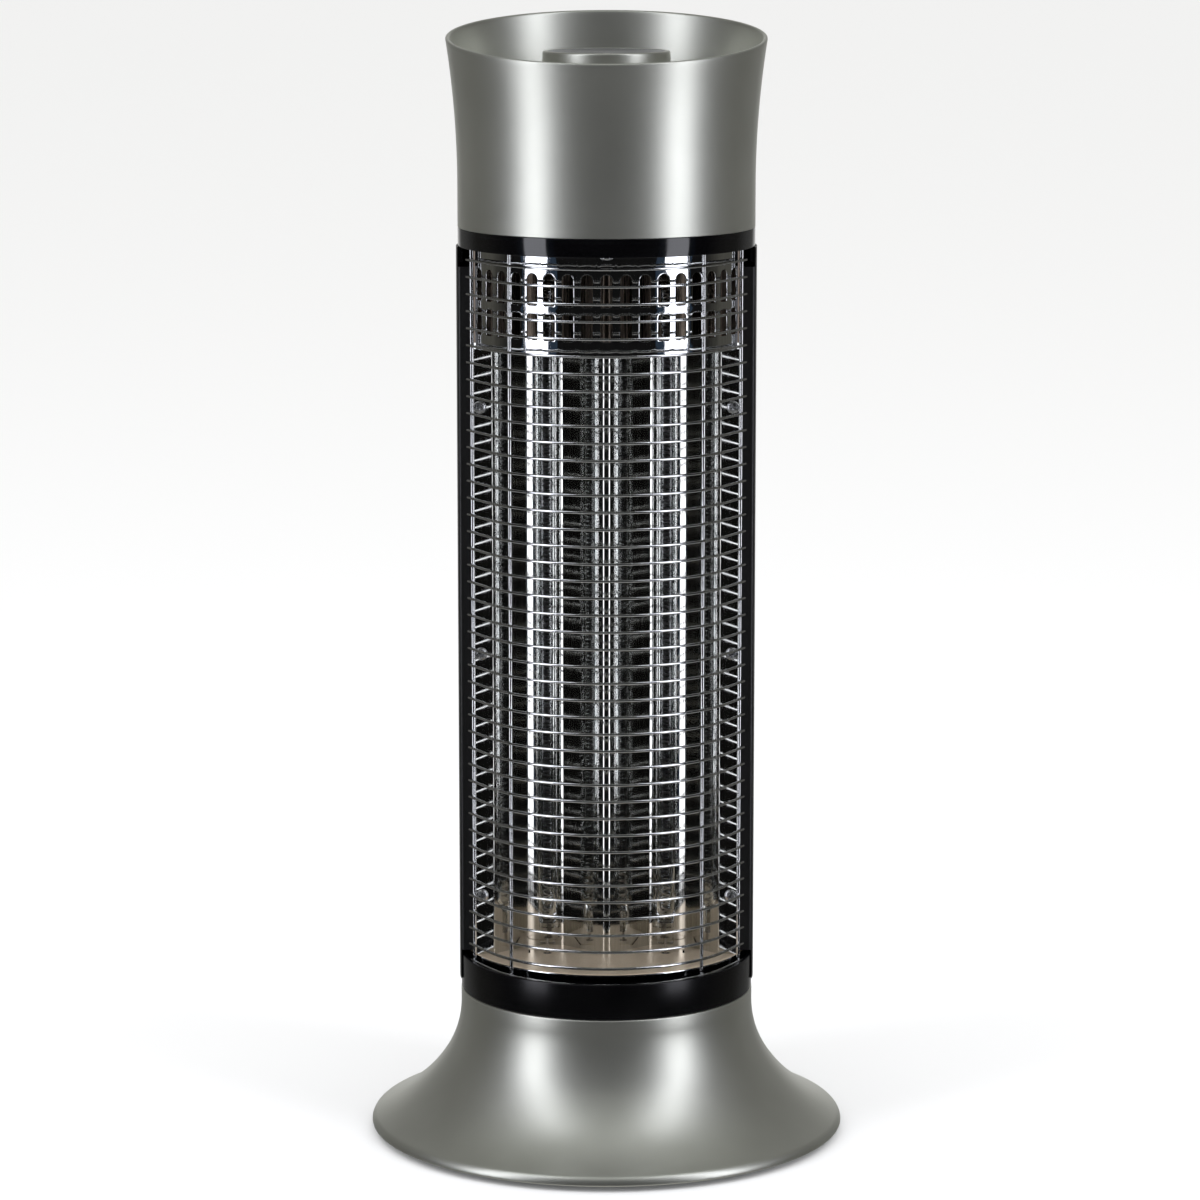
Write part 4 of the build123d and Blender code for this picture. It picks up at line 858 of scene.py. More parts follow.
# %% [markdown]
# Air leaves the housing through two rows of slots at the back. They could be cut one by one, but a
# tree sets out one slot along two lines and cuts them all with a Mesh Boolean, so that their pitch
# is exact and stays a single number.

# %% Slots in the housing
vent_rows, given = new_tree(
    "vent_rows",
    ("Slot", "Object"),
    ("Pitch", "Float"),
    ("Count", "Int"),
    ("First row", "Vector"),
    ("Second row", "Vector"),
    ("Finish", "Material"),
)
slot = add(vent_rows, "GeometryNodeObjectInfo", {"Object": given["Slot"]})
rows = []
for row in ("First row", "Second row"):
    step = add(vent_rows, "ShaderNodeCombineXYZ", {"X": given["Pitch"]})
    line = add(
        vent_rows,
        "GeometryNodeMeshLine",
        {"Count": given["Count"], "Start Location": given[row], "Offset": step.outputs["Vector"]},
    )
    rows.append(line.outputs["Mesh"])
both = add(vent_rows, "GeometryNodeJoinGeometry")
for row in rows:
    vent_rows.links.new(row, both.inputs["Geometry"])
cutters = add(
    vent_rows,
    "GeometryNodeInstanceOnPoints",
    {"Points": both.outputs["Geometry"], "Instance": slot.outputs["Geometry"]},
)
cutter = add(
    vent_rows, "GeometryNodeRealizeInstances", {"Geometry": cutters.outputs["Instances"]}
)
cut = add(
    vent_rows, "GeometryNodeMeshBoolean", {"Mesh 1": given["Geometry"]}, operation="DIFFERENCE"
)
vent_rows.links.new(cutter.outputs["Geometry"], cut.inputs["Mesh 2"])
close_tree(vent_rows, given, cut.outputs["Mesh"])

vent_w = 3.0
vent_h = 26.0
vent_pitch = 6.0
vent_count = 9
vent_up = (40.0, 345.0)
half = vent_h / 2 - vent_w / 2
slot_outline = arc(0, half, vent_w / 2, 0, 180, 8) + arc(0, -half, vent_w / 2, 180, 360, 8)
vent_slot = made(
    "vent_slot", pulled(slot_outline, housing_r * 0.8, housing_r + 2, along_y=True)
)
first_x = -(vent_count - 1) / 2 * vent_pitch
grow(
    housing_sheet,
    vent_rows,
    slot=vent_slot,
    pitch=vent_pitch * MM,
    count=vent_count,
    first_row=(first_x * MM, 0.0, (housing_low.z + vent_up[0]) * MM),
    second_row=(first_x * MM, 0.0, (housing_low.z + vent_up[1]) * MM),
    finish=powder_coat,
)
bpy.data.objects.remove(vent_slot)
settled(housing_sheet, "tower", "black_steel", "rear_housing")

# %% [markdown]
# ## Reflector
#
# The reflector is one sheet bent to a W: a flange, a trough, a ridge in the middle, a trough and
# a flange. Each trough has a round bottom behind its lamp, two straight flanks, and the small
# radius that a press brake leaves where it meets the flange. The sheet bright enough to mirror the
# lamps ends where the slotted panel starts: above that edge it gets a dark, dull sheet as painted
# shade, so that the slots look dark.


# %% Reflector
def folded(before, after, radius, steps=6):
    """Points of a fold between two straight or gently curved runs, and where it starts and ends."""
    corner = before[-1]
    into = (Vector(corner) - Vector(before[-2])).normalized()
    out = (Vector(after[1]) - Vector(corner)).normalized()
    bend = into.angle_signed(out)
    length = radius * tan(abs(bend) / 2)
    side = Vector((into.y, -into.x)) * (1 if bend > 0 else -1)
    centre = Vector(corner) - into * length + side * radius
    first = degrees(atan2(-side.y, -side.x))
    return arc(centre.x, centre.y, radius, first, first - degrees(bend), steps)


flange_y = span("reflector")[0].y
flange_x = span("reflector")[1].x
reflector_low = span("reflector")[0].z
reflector_high = span("reflector")[1].z
trough_edge_x = 60.6
bottom_x = 31.6
outer_bend_r = 19.5
outer_slope = 42.5
inner_bend_r = 6.6
inner_slope = 40.0
flat_bottom = 4.7
ridge_r = 3.3
fold_r = 1.0
outer_run = trough_edge_x - bottom_x - outer_bend_r * sin(radians(outer_slope))
bottom_y = flange_y + outer_run * tan(radians(outer_slope))
bottom_y += outer_bend_r * (1 - cos(radians(outer_slope)))
outer_bend = arc(-bottom_x, bottom_y - outer_bend_r, outer_bend_r, 90 + outer_slope, 90, 24)
flat_end_x = flat_bottom - bottom_x
inner_bend = arc(flat_end_x, bottom_y - inner_bend_r, inner_bend_r, 90, 90 - inner_slope, 16)
inner_run = -ridge_r * sin(radians(inner_slope)) - inner_bend[-1][0]
ridge_y = inner_bend[-1][1] - inner_run * tan(radians(inner_slope))
ridge_y += ridge_r * cos(radians(inner_slope))
ridge = arc(0, ridge_y, ridge_r, 270 - inner_slope, 270, 10)
flange = [(-flange_x, flange_y), (-trough_edge_x, flange_y)]
outer_fold = folded(flange, [flange[1]] + outer_bend, fold_r)
left_half = [flange[0]] + outer_fold + outer_bend + inner_bend + ridge
reflector_path = left_half + [(-x, y) for x, y in left_half[-2::-1]]
print("trough bottom", round(bottom_y, 2), "ridge top", round(ridge_y - ridge_r, 2))
mirror_reflector = made(
    "mirror_reflector",
    strip(reflector_path, sheet_t, reflector_low, reflector_high),
    mirror_sheet,
)
panel_low, panel_high = span("top_panel")
panel_bottom = panel_low.z
# Above this height the reflector gets the dark sheet: painted shade behind the slotted panel.
painted_shade_from = (panel_bottom + 3) * MM
whole = bmesh.new()
whole.from_mesh(mirror_reflector.data)
everything = whole.verts[:] + whole.edges[:] + whole.faces[:]
bmesh.ops.bisect_plane(whole, geom=everything, plane_co=(0, 0, painted_shade_from), plane_no=(0, 0, 1))
whole.to_mesh(mirror_reflector.data)
whole.free()
mirror_reflector.data.materials.append(dull_sheet)
for face in mirror_reflector.data.polygons:
    face.material_index = int(face.center.z > painted_shade_from)
settled(mirror_reflector, "tower", "bright_sheet", "reflector")

# %% [markdown]
# ## Chamber floor and slotted panel
#
# Floor and ceiling of the lamp chamber are thin bright sheets with the same outline: a wide arc in
# front that turns down into a lip, and narrower sides. The floor's lip is short. The ceiling's is
# a deep skirt with two rows of punched slots, round-headed above and square below. One slotted
# cell, a seventeenth of the skirt, is drawn point by point with the soft edge that a punch leaves,
# and a tree repeats it round the skirt's own axis.

# %% Outline of the floor and the ceiling
skirt_y = 19.4
skirt_r = housing_r - 2.0
side_r = housing_r - 5.5
back_y = 28.0
skirt_fold = 1.2
skirt_end = degrees(acos((skirt_y - (flange_y - 0.1)) / skirt_r))
join_y = (side_r**2 - skirt_r**2 + skirt_y**2) / (2 * skirt_y)
join_x = sqrt(side_r**2 - join_y**2)
slot_turn = 7.5
slots_each_side = 8
edge_turn = (slots_each_side + 0.5) * slot_turn
lamp_x = (housing_r - 17.1) / 2 + 0.7
lamp_y = -12.0
bush_r = 2.4
screw_hole_r = 1.4
slit_half = 10.3
slit_w = 1.0
slit_y = 6.5
slit_end_y = -0.4


def skirt_turns(steps_per_slot):
    """Angles at which the skirt is cut: even steps over the slotted cells, and its two ends."""
    count = (2 * slots_each_side + 1) * steps_per_slot
    inner = [-edge_turn + 2 * edge_turn * step / count for step in range(count + 1)]
    return [-skirt_end] + inner + [skirt_end]


def on_skirt(turn, radius):
    """A point in plan at an angle from the front, about the skirt's own axis."""
    return (radius * sin(radians(turn)), skirt_y - radius * cos(radians(turn)))


cell_steps = 6
front = [on_skirt(turn, skirt_r - skirt_fold) for turn in skirt_turns(cell_steps)]
right_side = arc(0, 0, side_r, degrees(atan2(join_y, join_x)), degrees(asin(back_y / side_r)), 16)
right_front = [on_skirt(skirt_end, skirt_r)] + [
    on_skirt(skirt_end + (degrees(acos((skirt_y - join_y) / skirt_r)) - skirt_end) * k / 4, skirt_r)
    for k in range(1, 4)
]
right_part = right_front + right_side
left_part = [(-x, y) for x, y in reversed(right_part)]
sheet_outline = front + right_part + left_part


def sheet_body(face_z):
    """The flat of the floor or the ceiling under its upper face, open where the skirt joins."""
    points, walls = pulled(sheet_outline, face_z - sheet_t, face_z)
    open_walls = walls[len(front) - 1 : -2]
    return points, open_walls + walls[-2:]


def fold_section(face_z):
    """Section of the fold from the flat into the skirt: outer points, then inner ones."""
    centre = skirt_r - skirt_fold
    outer = arc(centre, face_z - skirt_fold, skirt_fold, 90, 0, 6)
    inner = arc(centre, face_z - skirt_fold, skirt_fold - sheet_t, 90, 0, 6)
    return outer, inner


def lamp_cuts(low, high):
    """The slits round each lamp's bush, the bush's hole and the screw holes, as cutters."""
    forms = []
    for x in (-lamp_x, lamp_x):
        forms.append(rod(x, lamp_y, bush_r, low, high, 24))
        for left, right, front_y, rear_y in (
            (-slit_half, slit_half, slit_y, slit_y + slit_w),
            (-slit_half, slit_w - slit_half, slit_end_y, slit_y + slit_w / 2),
            (slit_half - slit_w, slit_half, slit_end_y, slit_y + slit_w / 2),
        ):
            corners = [(left, front_y), (right, front_y), (right, rear_y), (left, rear_y)]
            forms.append(pulled([(x + dx, lamp_y + dy) for dx, dy in corners], low, high))
    forms += [rod(x, y, screw_hole_r, low, high, 20) for x, y in panel_spots]
    return forms


print("skirt ends at", round(skirt_end, 2), "degrees, slots to", edge_turn)

# %% [markdown]
# The floor's fold and lip are a section carried round the skirt's axis. The lip is short and thin,
# and handling leaves it slightly crumpled, which is what makes it sparkle: its points wander in
# and out by up to a tenth of a millimetre. The flat is straw coloured and the lip still bright.

# %% Chamber floor
floor_outer, floor_inner = fold_section(chamber_floor)
lip_bottom = plate_low.z
crumple = Random(7)
lip_turns = skirt_turns(cell_steps)
lip_crumple = 0.09
lip_wander = [crumple.uniform(-lip_crumple, lip_crumple) for turn in lip_turns]
lip_levels = 5


def lip_ring(here, turn):
    """Outer and inner points of the floor's fold and lip at one angle."""
    drop = floor_outer[-1][1] - lip_bottom
    steps = [k / lip_levels for k in range(1, lip_levels + 1)]
    outer = [(r, z) for r, z in floor_outer]
    outer += [
        (skirt_r + lip_wander[here] * sin(pi * min(1.0, 1.4 * part)), outer[-1][1] - drop * part)
        for part in steps
    ]
    inner = [(r, z) for r, z in floor_inner]
    inner += [(r - sheet_t, z) for r, z in outer[len(floor_outer) :]]
    ring = outer + inner[::-1]
    return [(*on_skirt(turn, r), z) for r, z in ring]


rings = [lip_ring(here, turn) for here, turn in enumerate(lip_turns)]
count = len(rings[0])
lip_walls = [
    (a * count + k, (a + 1) * count + k, (a + 1) * count + k + 1, a * count + k + 1)
    for a in range(len(rings) - 1)
    for k in range(count - 1)
]
lip_walls += [tuple(range(count)), tuple((len(rings) - 1) * count + k for k in range(count))]
lip_form = ([point for ring in rings for point in ring], lip_walls)
straw_floor = made(
    "straw_floor", together(sheet_body(chamber_floor), lip_form), straw_sheet, crease=40
)
for cutter in lamp_cuts(chamber_floor - 2, chamber_floor + 1):
    carved(straw_floor, cutter)
straw_floor.data.materials.append(panel_sheet)
for face in straw_floor.data.polygons:
    if face.center.z < (chamber_floor - sheet_t - 0.05) * MM:
        face.material_index = 1
settled(straw_floor, "tower", "bright_sheet", "bottom_plate")

# %% [markdown]
# One cell of the skirt is a patch with two holes. Each hole's rim is matched, point for point, to
# a rectangle round it, so that the mesh stays square and its edges meet the next cell's. The outer
# edge of each hole is rounded over by a quarter of a millimetre, as a punch leaves it.

# %% Slots and their rims
panel_top = panel_high.z
cell_w = radians(slot_turn) * skirt_r
slot_w = 6.2
slot_rows = (
    (panel_bottom + 8.3, panel_bottom + 22.1, False),
    (panel_bottom + 26.3, panel_bottom + 43.1, True),
)
split_z = panel_bottom + 24.2
top_z = panel_top - skirt_fold
punch_round = 0.25
across = [k / cell_steps for k in range(cell_steps + 1)]
upright = [0.0, 0.12, 0.3, 0.5, 0.7, 0.88, 1.0]


def around(low_u, high_u, low_v, high_v):
    """Points on a rectangle, anticlockwise from its low corner, spaced by across and upright."""
    wide, tall = high_u - low_u, high_v - low_v
    return (
        [(low_u + wide * part, low_v) for part in across[:-1]]
        + [(high_u, low_v + tall * part) for part in upright[:-1]]
        + [(high_u - wide * part, high_v) for part in across[:-1]]
        + [(low_u, high_v - tall * part) for part in upright[:-1]]
    )


def hole_rim(low_v, high_v, arched, grow):
    """The slot's outline with as many points as the rectangle, grown outwards by a little."""
    half_w = slot_w / 2 + grow
    low, high = low_v - grow, high_v + grow
    corner = 1.0 + grow
    rim = []
    for u, v in around(-1.0, 1.0, 0.0, 1.0):
        if arched and v > 0.8:
            turn = 90 - 62 * abs(u) if v == 1.0 else 14
            rim.append(
                (
                    half_w * cos(radians(turn)) * (1 if u > 0 else -1),
                    high - half_w + half_w * sin(radians(turn)),
                )
            )
        elif abs(u) == 1.0 and v in (0.0, 1.0):
            slip = corner * (1 - sqrt(0.5))
            rim.append((u * (half_w - slip), low + slip if v == 0 else high - slip))
        elif v in (0.0, 1.0):
            out = u * (half_w - corner) * 1.5 if abs(u) > 0.5 else u * half_w
            rim.append((out, low if v == 0 else high))
        else:
            rim.append((u * half_w, low + (high - low) * v))
    return rim


print("slots:", slot_w, "mm wide, one every", round(cell_w, 2), "mm")

# %% [markdown]
# The cell is built from rings of points, from its outer edge over the rim of each hole, through the
# sheet and back out on the inner face. Two neighbouring rings have as many points, so a wall of
# squares joins them. Cutting the slots with a boolean would leave long thin faces that shade badly.


# %% One slotted cell
def cell_point(u, v, depth):
    """A point of the skirt's cell: u along it, v its height, depth under its outer face."""
    return (*on_skirt(degrees(u / skirt_r), skirt_r - depth), v)


cell_points, cell_walls = [], []


def add_ring(outline, depth):
    """Add a ring of points at a depth and return their numbers."""
    first = len(cell_points)
    cell_points.extend(cell_point(u, v, depth) for u, v in outline)
    return list(range(first, len(cell_points)))


def bridge(near, far):
    """Walls between two rings with as many points."""
    count = len(near)
    for k in range(count):
        after = (k + 1) % count
        cell_walls.append((near[k], near[after], far[after], far[k]))


bounds = ((panel_bottom, split_z), (split_z, top_z))
for (low_v, high_v, arched), (low, high) in zip(slot_rows, bounds):
    edge_ring = around(-cell_w / 2, cell_w / 2, low, high)
    rings = [
        add_ring(edge_ring, 0.0),
        add_ring(hole_rim(low_v, high_v, arched, punch_round * 2.2), 0.0),
        add_ring(hole_rim(low_v, high_v, arched, punch_round), 0.03),
        add_ring(hole_rim(low_v, high_v, arched, punch_round * 0.3), punch_round * 0.3),
        add_ring(hole_rim(low_v, high_v, arched, 0.0), punch_round),
        add_ring(hole_rim(low_v, high_v, arched, 0.0), sheet_t),
        add_ring(edge_ring, sheet_t),
    ]
    for near, far in zip(rings, rings[1:]):
        bridge(near, far)
print("one cell has", len(cell_walls), "faces")

# %% [markdown]
# The slotted part of the skirt is seventeen such cells. A tree sets them out: each copy is turned
# about the skirt's own axis by its number, counted from the middle, times the angle between slots.

# %% Cells round the skirt
skirt_cells, given = new_tree(
    "skirt_cells", ("Count", "Int"), ("Turn", "Float"), ("Centre", "Vector"), ("Finish", "Material")
)
index = add(skirt_cells, "GeometryNodeInputIndex").outputs["Index"]
last = add(skirt_cells, "ShaderNodeMath", {0: given["Count"], 1: 1.0}, operation="SUBTRACT")
middle = add(skirt_cells, "ShaderNodeMath", {0: last.outputs[0], 1: 0.5}, operation="MULTIPLY")
offset = add(skirt_cells, "ShaderNodeMath", {0: index, 1: middle.outputs[0]}, operation="SUBTRACT")
angle = add(
    skirt_cells, "ShaderNodeMath", {0: offset.outputs[0], 1: given["Turn"]}, operation="MULTIPLY"
)
spin = add(skirt_cells, "ShaderNodeCombineXYZ", {"Z": angle.outputs[0]}).outputs["Vector"]
dots = add(
    skirt_cells,
    "GeometryNodeMeshLine",
    {"Count": given["Count"], "Start Location": given["Centre"], "Offset": (0.0, 0.0, 0.0)},
)
back = add(
    skirt_cells,
    "ShaderNodeVectorMath",
    {0: given["Centre"], "Scale": -1.0},
    operation="SCALE",
).outputs["Vector"]
shifted = add(
    skirt_cells, "GeometryNodeTransform", {"Geometry": given["Geometry"], "Translation": back}
)
cells = add(
    skirt_cells,
    "GeometryNodeInstanceOnPoints",
    {"Points": dots.outputs["Mesh"], "Instance": shifted.outputs["Geometry"], "Rotation": spin},
)
close_tree(skirt_cells, given, cells.outputs["Instances"])
slotted_skirt = grown(
    "slotted_skirt",
    skirt_cells,
    (cell_points, [], cell_walls),
    count=2 * slots_each_side + 1,
    turn=radians(slot_turn),
    centre=(0.0, skirt_y * MM, 0.0),
    finish=panel_sheet,
)
print("the skirt has", len(slotted_skirt.data.polygons), "faces")

# %% [markdown]
# The rest of the panel is drawn round those cells: the flat, the fold above them, the edge below
# them and the two plain ends. Everything is then merged into one closed sheet.

# %% Slotted panel
panel_outer, panel_inner = fold_section(panel_top)
rest_points, rest_walls = [], []


def sweep(ring_at, turns):
    """Carry an open row of points through angles and add the walls between the rows."""
    for here, turn in enumerate(turns):
        row = [(*on_skirt(turn, r), z) for r, z in ring_at]
        first = len(rest_points)
        rest_points.extend(row)
        if here:
            for k in range(len(row) - 1):
                low = first - len(row)
                rest_walls.append((low + k, first + k, first + k + 1, low + k + 1))


sweep(panel_outer, skirt_turns(cell_steps))
sweep(panel_inner, skirt_turns(cell_steps))
sweep([(skirt_r, panel_bottom), (skirt_r - sheet_t, panel_bottom)], skirt_turns(cell_steps))
heights = [panel_bottom + (split_z - panel_bottom) * part for part in upright]
heights += [split_z + (top_z - split_z) * part for part in upright[1:]]
for side in (-1, 1):
    ends = sorted((side * edge_turn, side * skirt_end))
    sweep([(skirt_r, z) for z in heights], ends)
    sweep([(skirt_r - sheet_t, z) for z in heights], ends)
    cap = panel_outer[:-1] + [(skirt_r, z) for z in reversed(heights)]
    cap += [(skirt_r - sheet_t, z) for z in heights] + panel_inner[-2::-1]
    first = len(rest_points)
    rest_points.extend((*on_skirt(side * skirt_end, r), z) for r, z in cap)
    rest_walls.append(tuple(range(first, first + len(cap))))
panel_rest = together((rest_points, rest_walls), sheet_body(panel_top))
slotted_panel = made("slotted_panel", panel_rest, panel_sheet)
whole = bmesh.new()
whole.from_mesh(slotted_panel.data)
whole.from_mesh(slotted_skirt.data)
bmesh.ops.remove_doubles(whole, verts=whole.verts, dist=0.01 * MM)
bmesh.ops.recalc_face_normals(whole, faces=whole.faces)
open_edges = [edge for edge in whole.edges if len(edge.link_faces) != 2]
print("edges of the panel that aren't shared by two faces:", len(open_edges))
whole.to_mesh(slotted_panel.data)
whole.free()
smoothed(slotted_panel.data, 50)
bpy.data.objects.remove(slotted_skirt)
for cutter in lamp_cuts(panel_top - 2, panel_top + 1):
    carved(slotted_panel, cutter)
smoothed(slotted_panel.data, 50)
# The panel's inner faces above its lower edge get the dark sheet as painted shade.
slotted_panel.data.materials.append(dull_sheet)
for face in slotted_panel.data.polygons:
    away = face.center.x * face.normal.x + (face.center.y - skirt_y * MM) * face.normal.y
    inside = away < -0.5 * skirt_r * MM or face.normal.z < -0.9
    face.material_index = int(inside and face.center.z > (panel_bottom + 1) * MM)
settled(slotted_panel, "tower", "bright_sheet", "top_panel")

# %% [markdown]
# ## Guard
#
# Forty-three wires bend round the front, each an arc with two straight ends, and four uprights
# behind them carry the welds. A wire could be a bevelled curve copied by hand. Here one path of
# points goes through a tree that draws the wire and stacks the copies, so pitch and count are two
# numbers.

# %% Guard
wires_low, wires_high = span("guard_wires")
uprights_low, uprights_high = span("guard_uprights")
wire_r = 0.75
upright_r = 1.0
guard_r = -wires_low.y - wire_r
guard_turn = 60.0
guard_tail = 22.0
guard_pitch = 9.0
guard_count = round((wires_high.z - wires_low.z - 2 * wire_r) / guard_pitch) + 1
guard_first = wires_low.z + wire_r
bend = radians(guard_turn)
tail_x = guard_r * sin(bend) + guard_tail * cos(bend)
tail_y = -guard_r * cos(bend) + guard_tail * sin(bend)
guard_path = (
    [(-tail_x, tail_y)]
    + arc(0, 0, guard_r, 270 - guard_turn, 270 + guard_turn, 60)
    + [(tail_x, tail_y)]
)
guard_wires = grown(
    "chrome_guard_wires",
    drawn_wire,
    chain([(x, y, guard_first) for x, y in guard_path]),
    wire_radius=wire_r * MM,
    sides=12,
    copies=guard_count,
    pitch=(0.0, 0.0, guard_pitch * MM),
    finish=chrome,
)
settled(guard_wires, "tower", "chrome_wire", "guard_wires")

upright_out = wire_r + upright_r + 0.02
upright_along = 20.4
outer_x = guard_r * sin(bend) + upright_along * cos(bend) - upright_out * sin(bend)
outer_y = -guard_r * cos(bend) + upright_along * sin(bend) + upright_out * cos(bend)
weld_turn = radians(46.0)
inner_x = (guard_r - upright_out) * sin(weld_turn)
inner_y = -(guard_r - upright_out) * cos(weld_turn)
upright_rod = made("upright_rod", rod(0, 0, upright_r, uprights_low.z, uprights_high.z, 20))
welds = ((-outer_x, outer_y), (outer_x, outer_y), (-inner_x, inner_y), (inner_x, inner_y))
guard_uprights = placed(
    "chrome_guard_uprights", upright_rod, chrome, [((x, y, 0), (0, 0, 1)) for x, y in welds]
)
bpy.data.objects.remove(upright_rod)
settled(guard_uprights, "tower", "chrome_wire", "guard_uprights")
print("guard:", guard_count, "wires at", guard_pitch, "mm")

# %% [markdown]
# ## Screws
#
# Every screw is a domed head with a cross recess. One head of each size is turned and cut, and the
# set_out tree puts a copy at each spot with its axis along the hole.

# %% Screws
def screw_form(name, shank_r, head_r, head_h, length, finish):
    """A cross-head screw with its head on the XY plane."""
    dome = head_h * 0.75
    section = (
        [(0.0, head_h)]
        + [
            (head_r * sin(radians(a)), head_h - dome + dome * cos(radians(a)))
            for a in range(10, 91, 10)
        ]
        + [(head_r, 0.1), (head_r - 0.1, 0.0), (shank_r, 0.0)]
        + [(shank_r, -length + 0.5), (shank_r * 0.6, -length), (0.0, -length)]
    )
    piece = made(name, turned(lambda turn: section, 32), finish)
    reach, width = head_r * 0.5, 0.45
    for a, b in ((reach, width), (width, reach)):
        outline = [(-a, -b), (a, -b), (a, b), (-a, b)]
        carved(piece, pulled(outline, head_h * 0.35, head_h + 1))
    return piece


chamber_top = panel_top - sheet_t
lower_screw_z = ring_top - (ring_top - ring_bottom) / 5
upper_screw_z = band_bottom - 4.0
ways = [(cos(radians(a)), sin(radians(a)), 0.0) for a in (30, 90, 150)]
flange_screw_in = 12.6
flange_screw_x = housing_r - flange_screw_in
flange_heights = (130.5, 263.0, 395.5)
flange_screw = screw_form("flange_screw", 1.3, 3.4, 2.2, 6.0, zinc)
small_screw = screw_form("small_screw", 1.3, 2.6, 1.6, 6.0, zinc)
large_screw = screw_form("large_screw", 1.5, 3.4, 2.2, 9.0, zinc)

flange_screws = placed(
    "flange_screws",
    flange_screw,
    zinc,
    [((s * flange_screw_x, flange_y, z), (0, -1, 0)) for s in (-1, 1) for z in flange_heights],
)
settled(flange_screws, "tower", "steel_screw", "reflector_screws")
back_screws = placed(
    "back_screws",
    small_screw,
    zinc,
    [
        ((way[0] * housing_r, way[1] * housing_r, z), way)
        for way in ways
        for z in (lower_screw_z, upper_screw_z)
    ],
)
settled(back_screws, "tower", "steel_screw", "housing_screws")
sheet_screws = placed(
    "sheet_screws",
    small_screw,
    zinc,
    [((x, y, chamber_floor), (0, 0, 1)) for x, y in panel_spots]
    + [((x, y, chamber_top), (0, 0, -1)) for x, y in panel_spots],
)
settled(sheet_screws, "tower", "steel_screw", "panel_screws")
under_screws = placed(
    "under_screws",
    large_screw,
    zinc,
    [((x, y, foot_h), (0, 0, -1)) for x, y in base_posts],
)
settled(under_screws, "base", "steel_screw", "base_plate_screws")
for part in (flange_screw, small_screw, large_screw):
    bpy.data.objects.remove(part)

# %% [markdown]
# ## Lamps
#
# A carbon lamp is a quartz tube whose two ends are pinched flat round the lead, with a wound
# carbon tow held along its middle by a spring at each end. The tube is lofted: its section runs
# from the pinch's rounded oblong to a circle within a few millimetres, and the bore inside is a
# closed form of its own, facing inwards.

# %% Quartz tubes
lamp_r = 5.0
bore_r = 4.0
pinch_half_w = 4.3
pinch_half_t = 1.6
pinch_h = 11.0
lamp_gap = 5.5
pinch_wall = 3.5
lamp_low = chamber_floor + lamp_gap
lamp_high = chamber_top - lamp_gap
bore_low = lamp_low + pinch_h + pinch_wall
bore_high = lamp_high - pinch_h - pinch_wall


def lamp_section(part, steps=40):
    """The lamp's outline in plan: the pinch's rounded oblong at part 0, the tube's circle at 1."""
    half_w = pinch_half_w + (lamp_r - pinch_half_w) * part
    half_t = pinch_half_t + (lamp_r - pinch_half_t) * part
    power = 2 / (3.6 - 1.6 * part)
    ring = []
    for step in range(steps):
        c, s = cos(2 * pi * step / steps), sin(2 * pi * step / steps)
        ring.append(
            (
                (half_w * abs(c) ** power if c > 0 else -half_w * abs(c) ** power),
                (half_t * abs(s) ** power if s > 0 else -half_t * abs(s) ** power),
            )
        )
    return ring


def lofted(rings):
    """A closed form through (outline, height) rings with as many points each."""
    count = len(rings[0][0])
    points = [(x, y, z) for outline, z in rings for x, y in outline]
    last = len(points) - count
    walls = [
        (low + k, low + (k + 1) % count, low + count + (k + 1) % count, low + count + k)
        for low in range(0, last, count)
        for k in range(count)
    ]
    return points, walls + [tuple(range(count)), tuple(range(last, len(points)))]


def lamp_form(x):
    """The tube's outside and the bore inside it, at a place in plan."""
    shoulder = [0.0, 0.08, 0.26, 0.5, 0.74, 0.92, 1.0]
    ends = [(0.0, 0.0), (0.0, pinch_h)]
    ends += [(part, pinch_h + 5.5 * (k + 1) / len(shoulder)) for k, part in enumerate(shoulder)]
    rings = [(lamp_section(part), lamp_low + up) for part, up in ends]
    rings += [(lamp_section(part), lamp_high - up) for part, up in reversed(ends)]
    moved = [([(x + dx, lamp_y + dy) for dx, dy in ring], z) for ring, z in rings]
    dome = [(0.0, 0.0), (0.35, 0.25), (0.7, 0.9), (0.92, 1.9), (1.0, 3.2)]
    inside = [(bore_r * max(part, 0.02), bore_low + up) for part, up in dome]
    inside += [(bore_r * max(part, 0.02), bore_high - up) for part, up in reversed(dome)]
    bore = [(arc(x, lamp_y, radius, 0, 351, 39), z) for radius, z in inside]
    return lofted(moved), lofted(bore)


for side, word in ((-1, "left"), (1, "right")):
    outside, bore = lamp_form(side * lamp_x)
    tube = made("quartz_tube_" + word, outside, quartz, crease=50, hollow=bore)
    settled(tube, "tower", "quartz", "lamp_tube_" + word)

# %% [markdown]
# A winding could be a curve with a bevel, drawn point by point. A Spiral node gives the same path
# from a radius, a length and a number of turns, and the tree sweeps a section along it, flat for
# the tow and round for the springs.

# %% Tree for windings
wound, given = new_tree(
    "wound",
    ("Turns", "Float"),
    ("Steps", "Int"),
    ("Coil radius", "Float"),
    ("Length", "Float"),
    ("Section", "Vector"),
    ("Sides", "Int"),
    ("Finish", "Material"),
)
spiral = add(
    wound,
    "GeometryNodeCurveSpiral",
    {
        "Resolution": given["Steps"],
        "Rotations": given["Turns"],
        "Start Radius": given["Coil radius"],
        "End Radius": given["Coil radius"],
        "Height": given["Length"],
    },
)
upright_way = add(
    wound, "GeometryNodeSetCurveNormal", {"Curve": spiral.outputs["Curve"]}, mode="Z_UP"
)
ring = add(wound, "GeometryNodeCurvePrimitiveCircle", {"Resolution": given["Sides"], "Radius": 1.0})
section = add(
    wound, "GeometryNodeTransform", {"Geometry": ring.outputs["Curve"], "Scale": given["Section"]}
)
coil = add(
    wound,
    "GeometryNodeCurveToMesh",
    {
        "Curve": upright_way.outputs["Curve"],
        "Profile Curve": section.outputs["Geometry"],
        "Fill Caps": True,
    },
)
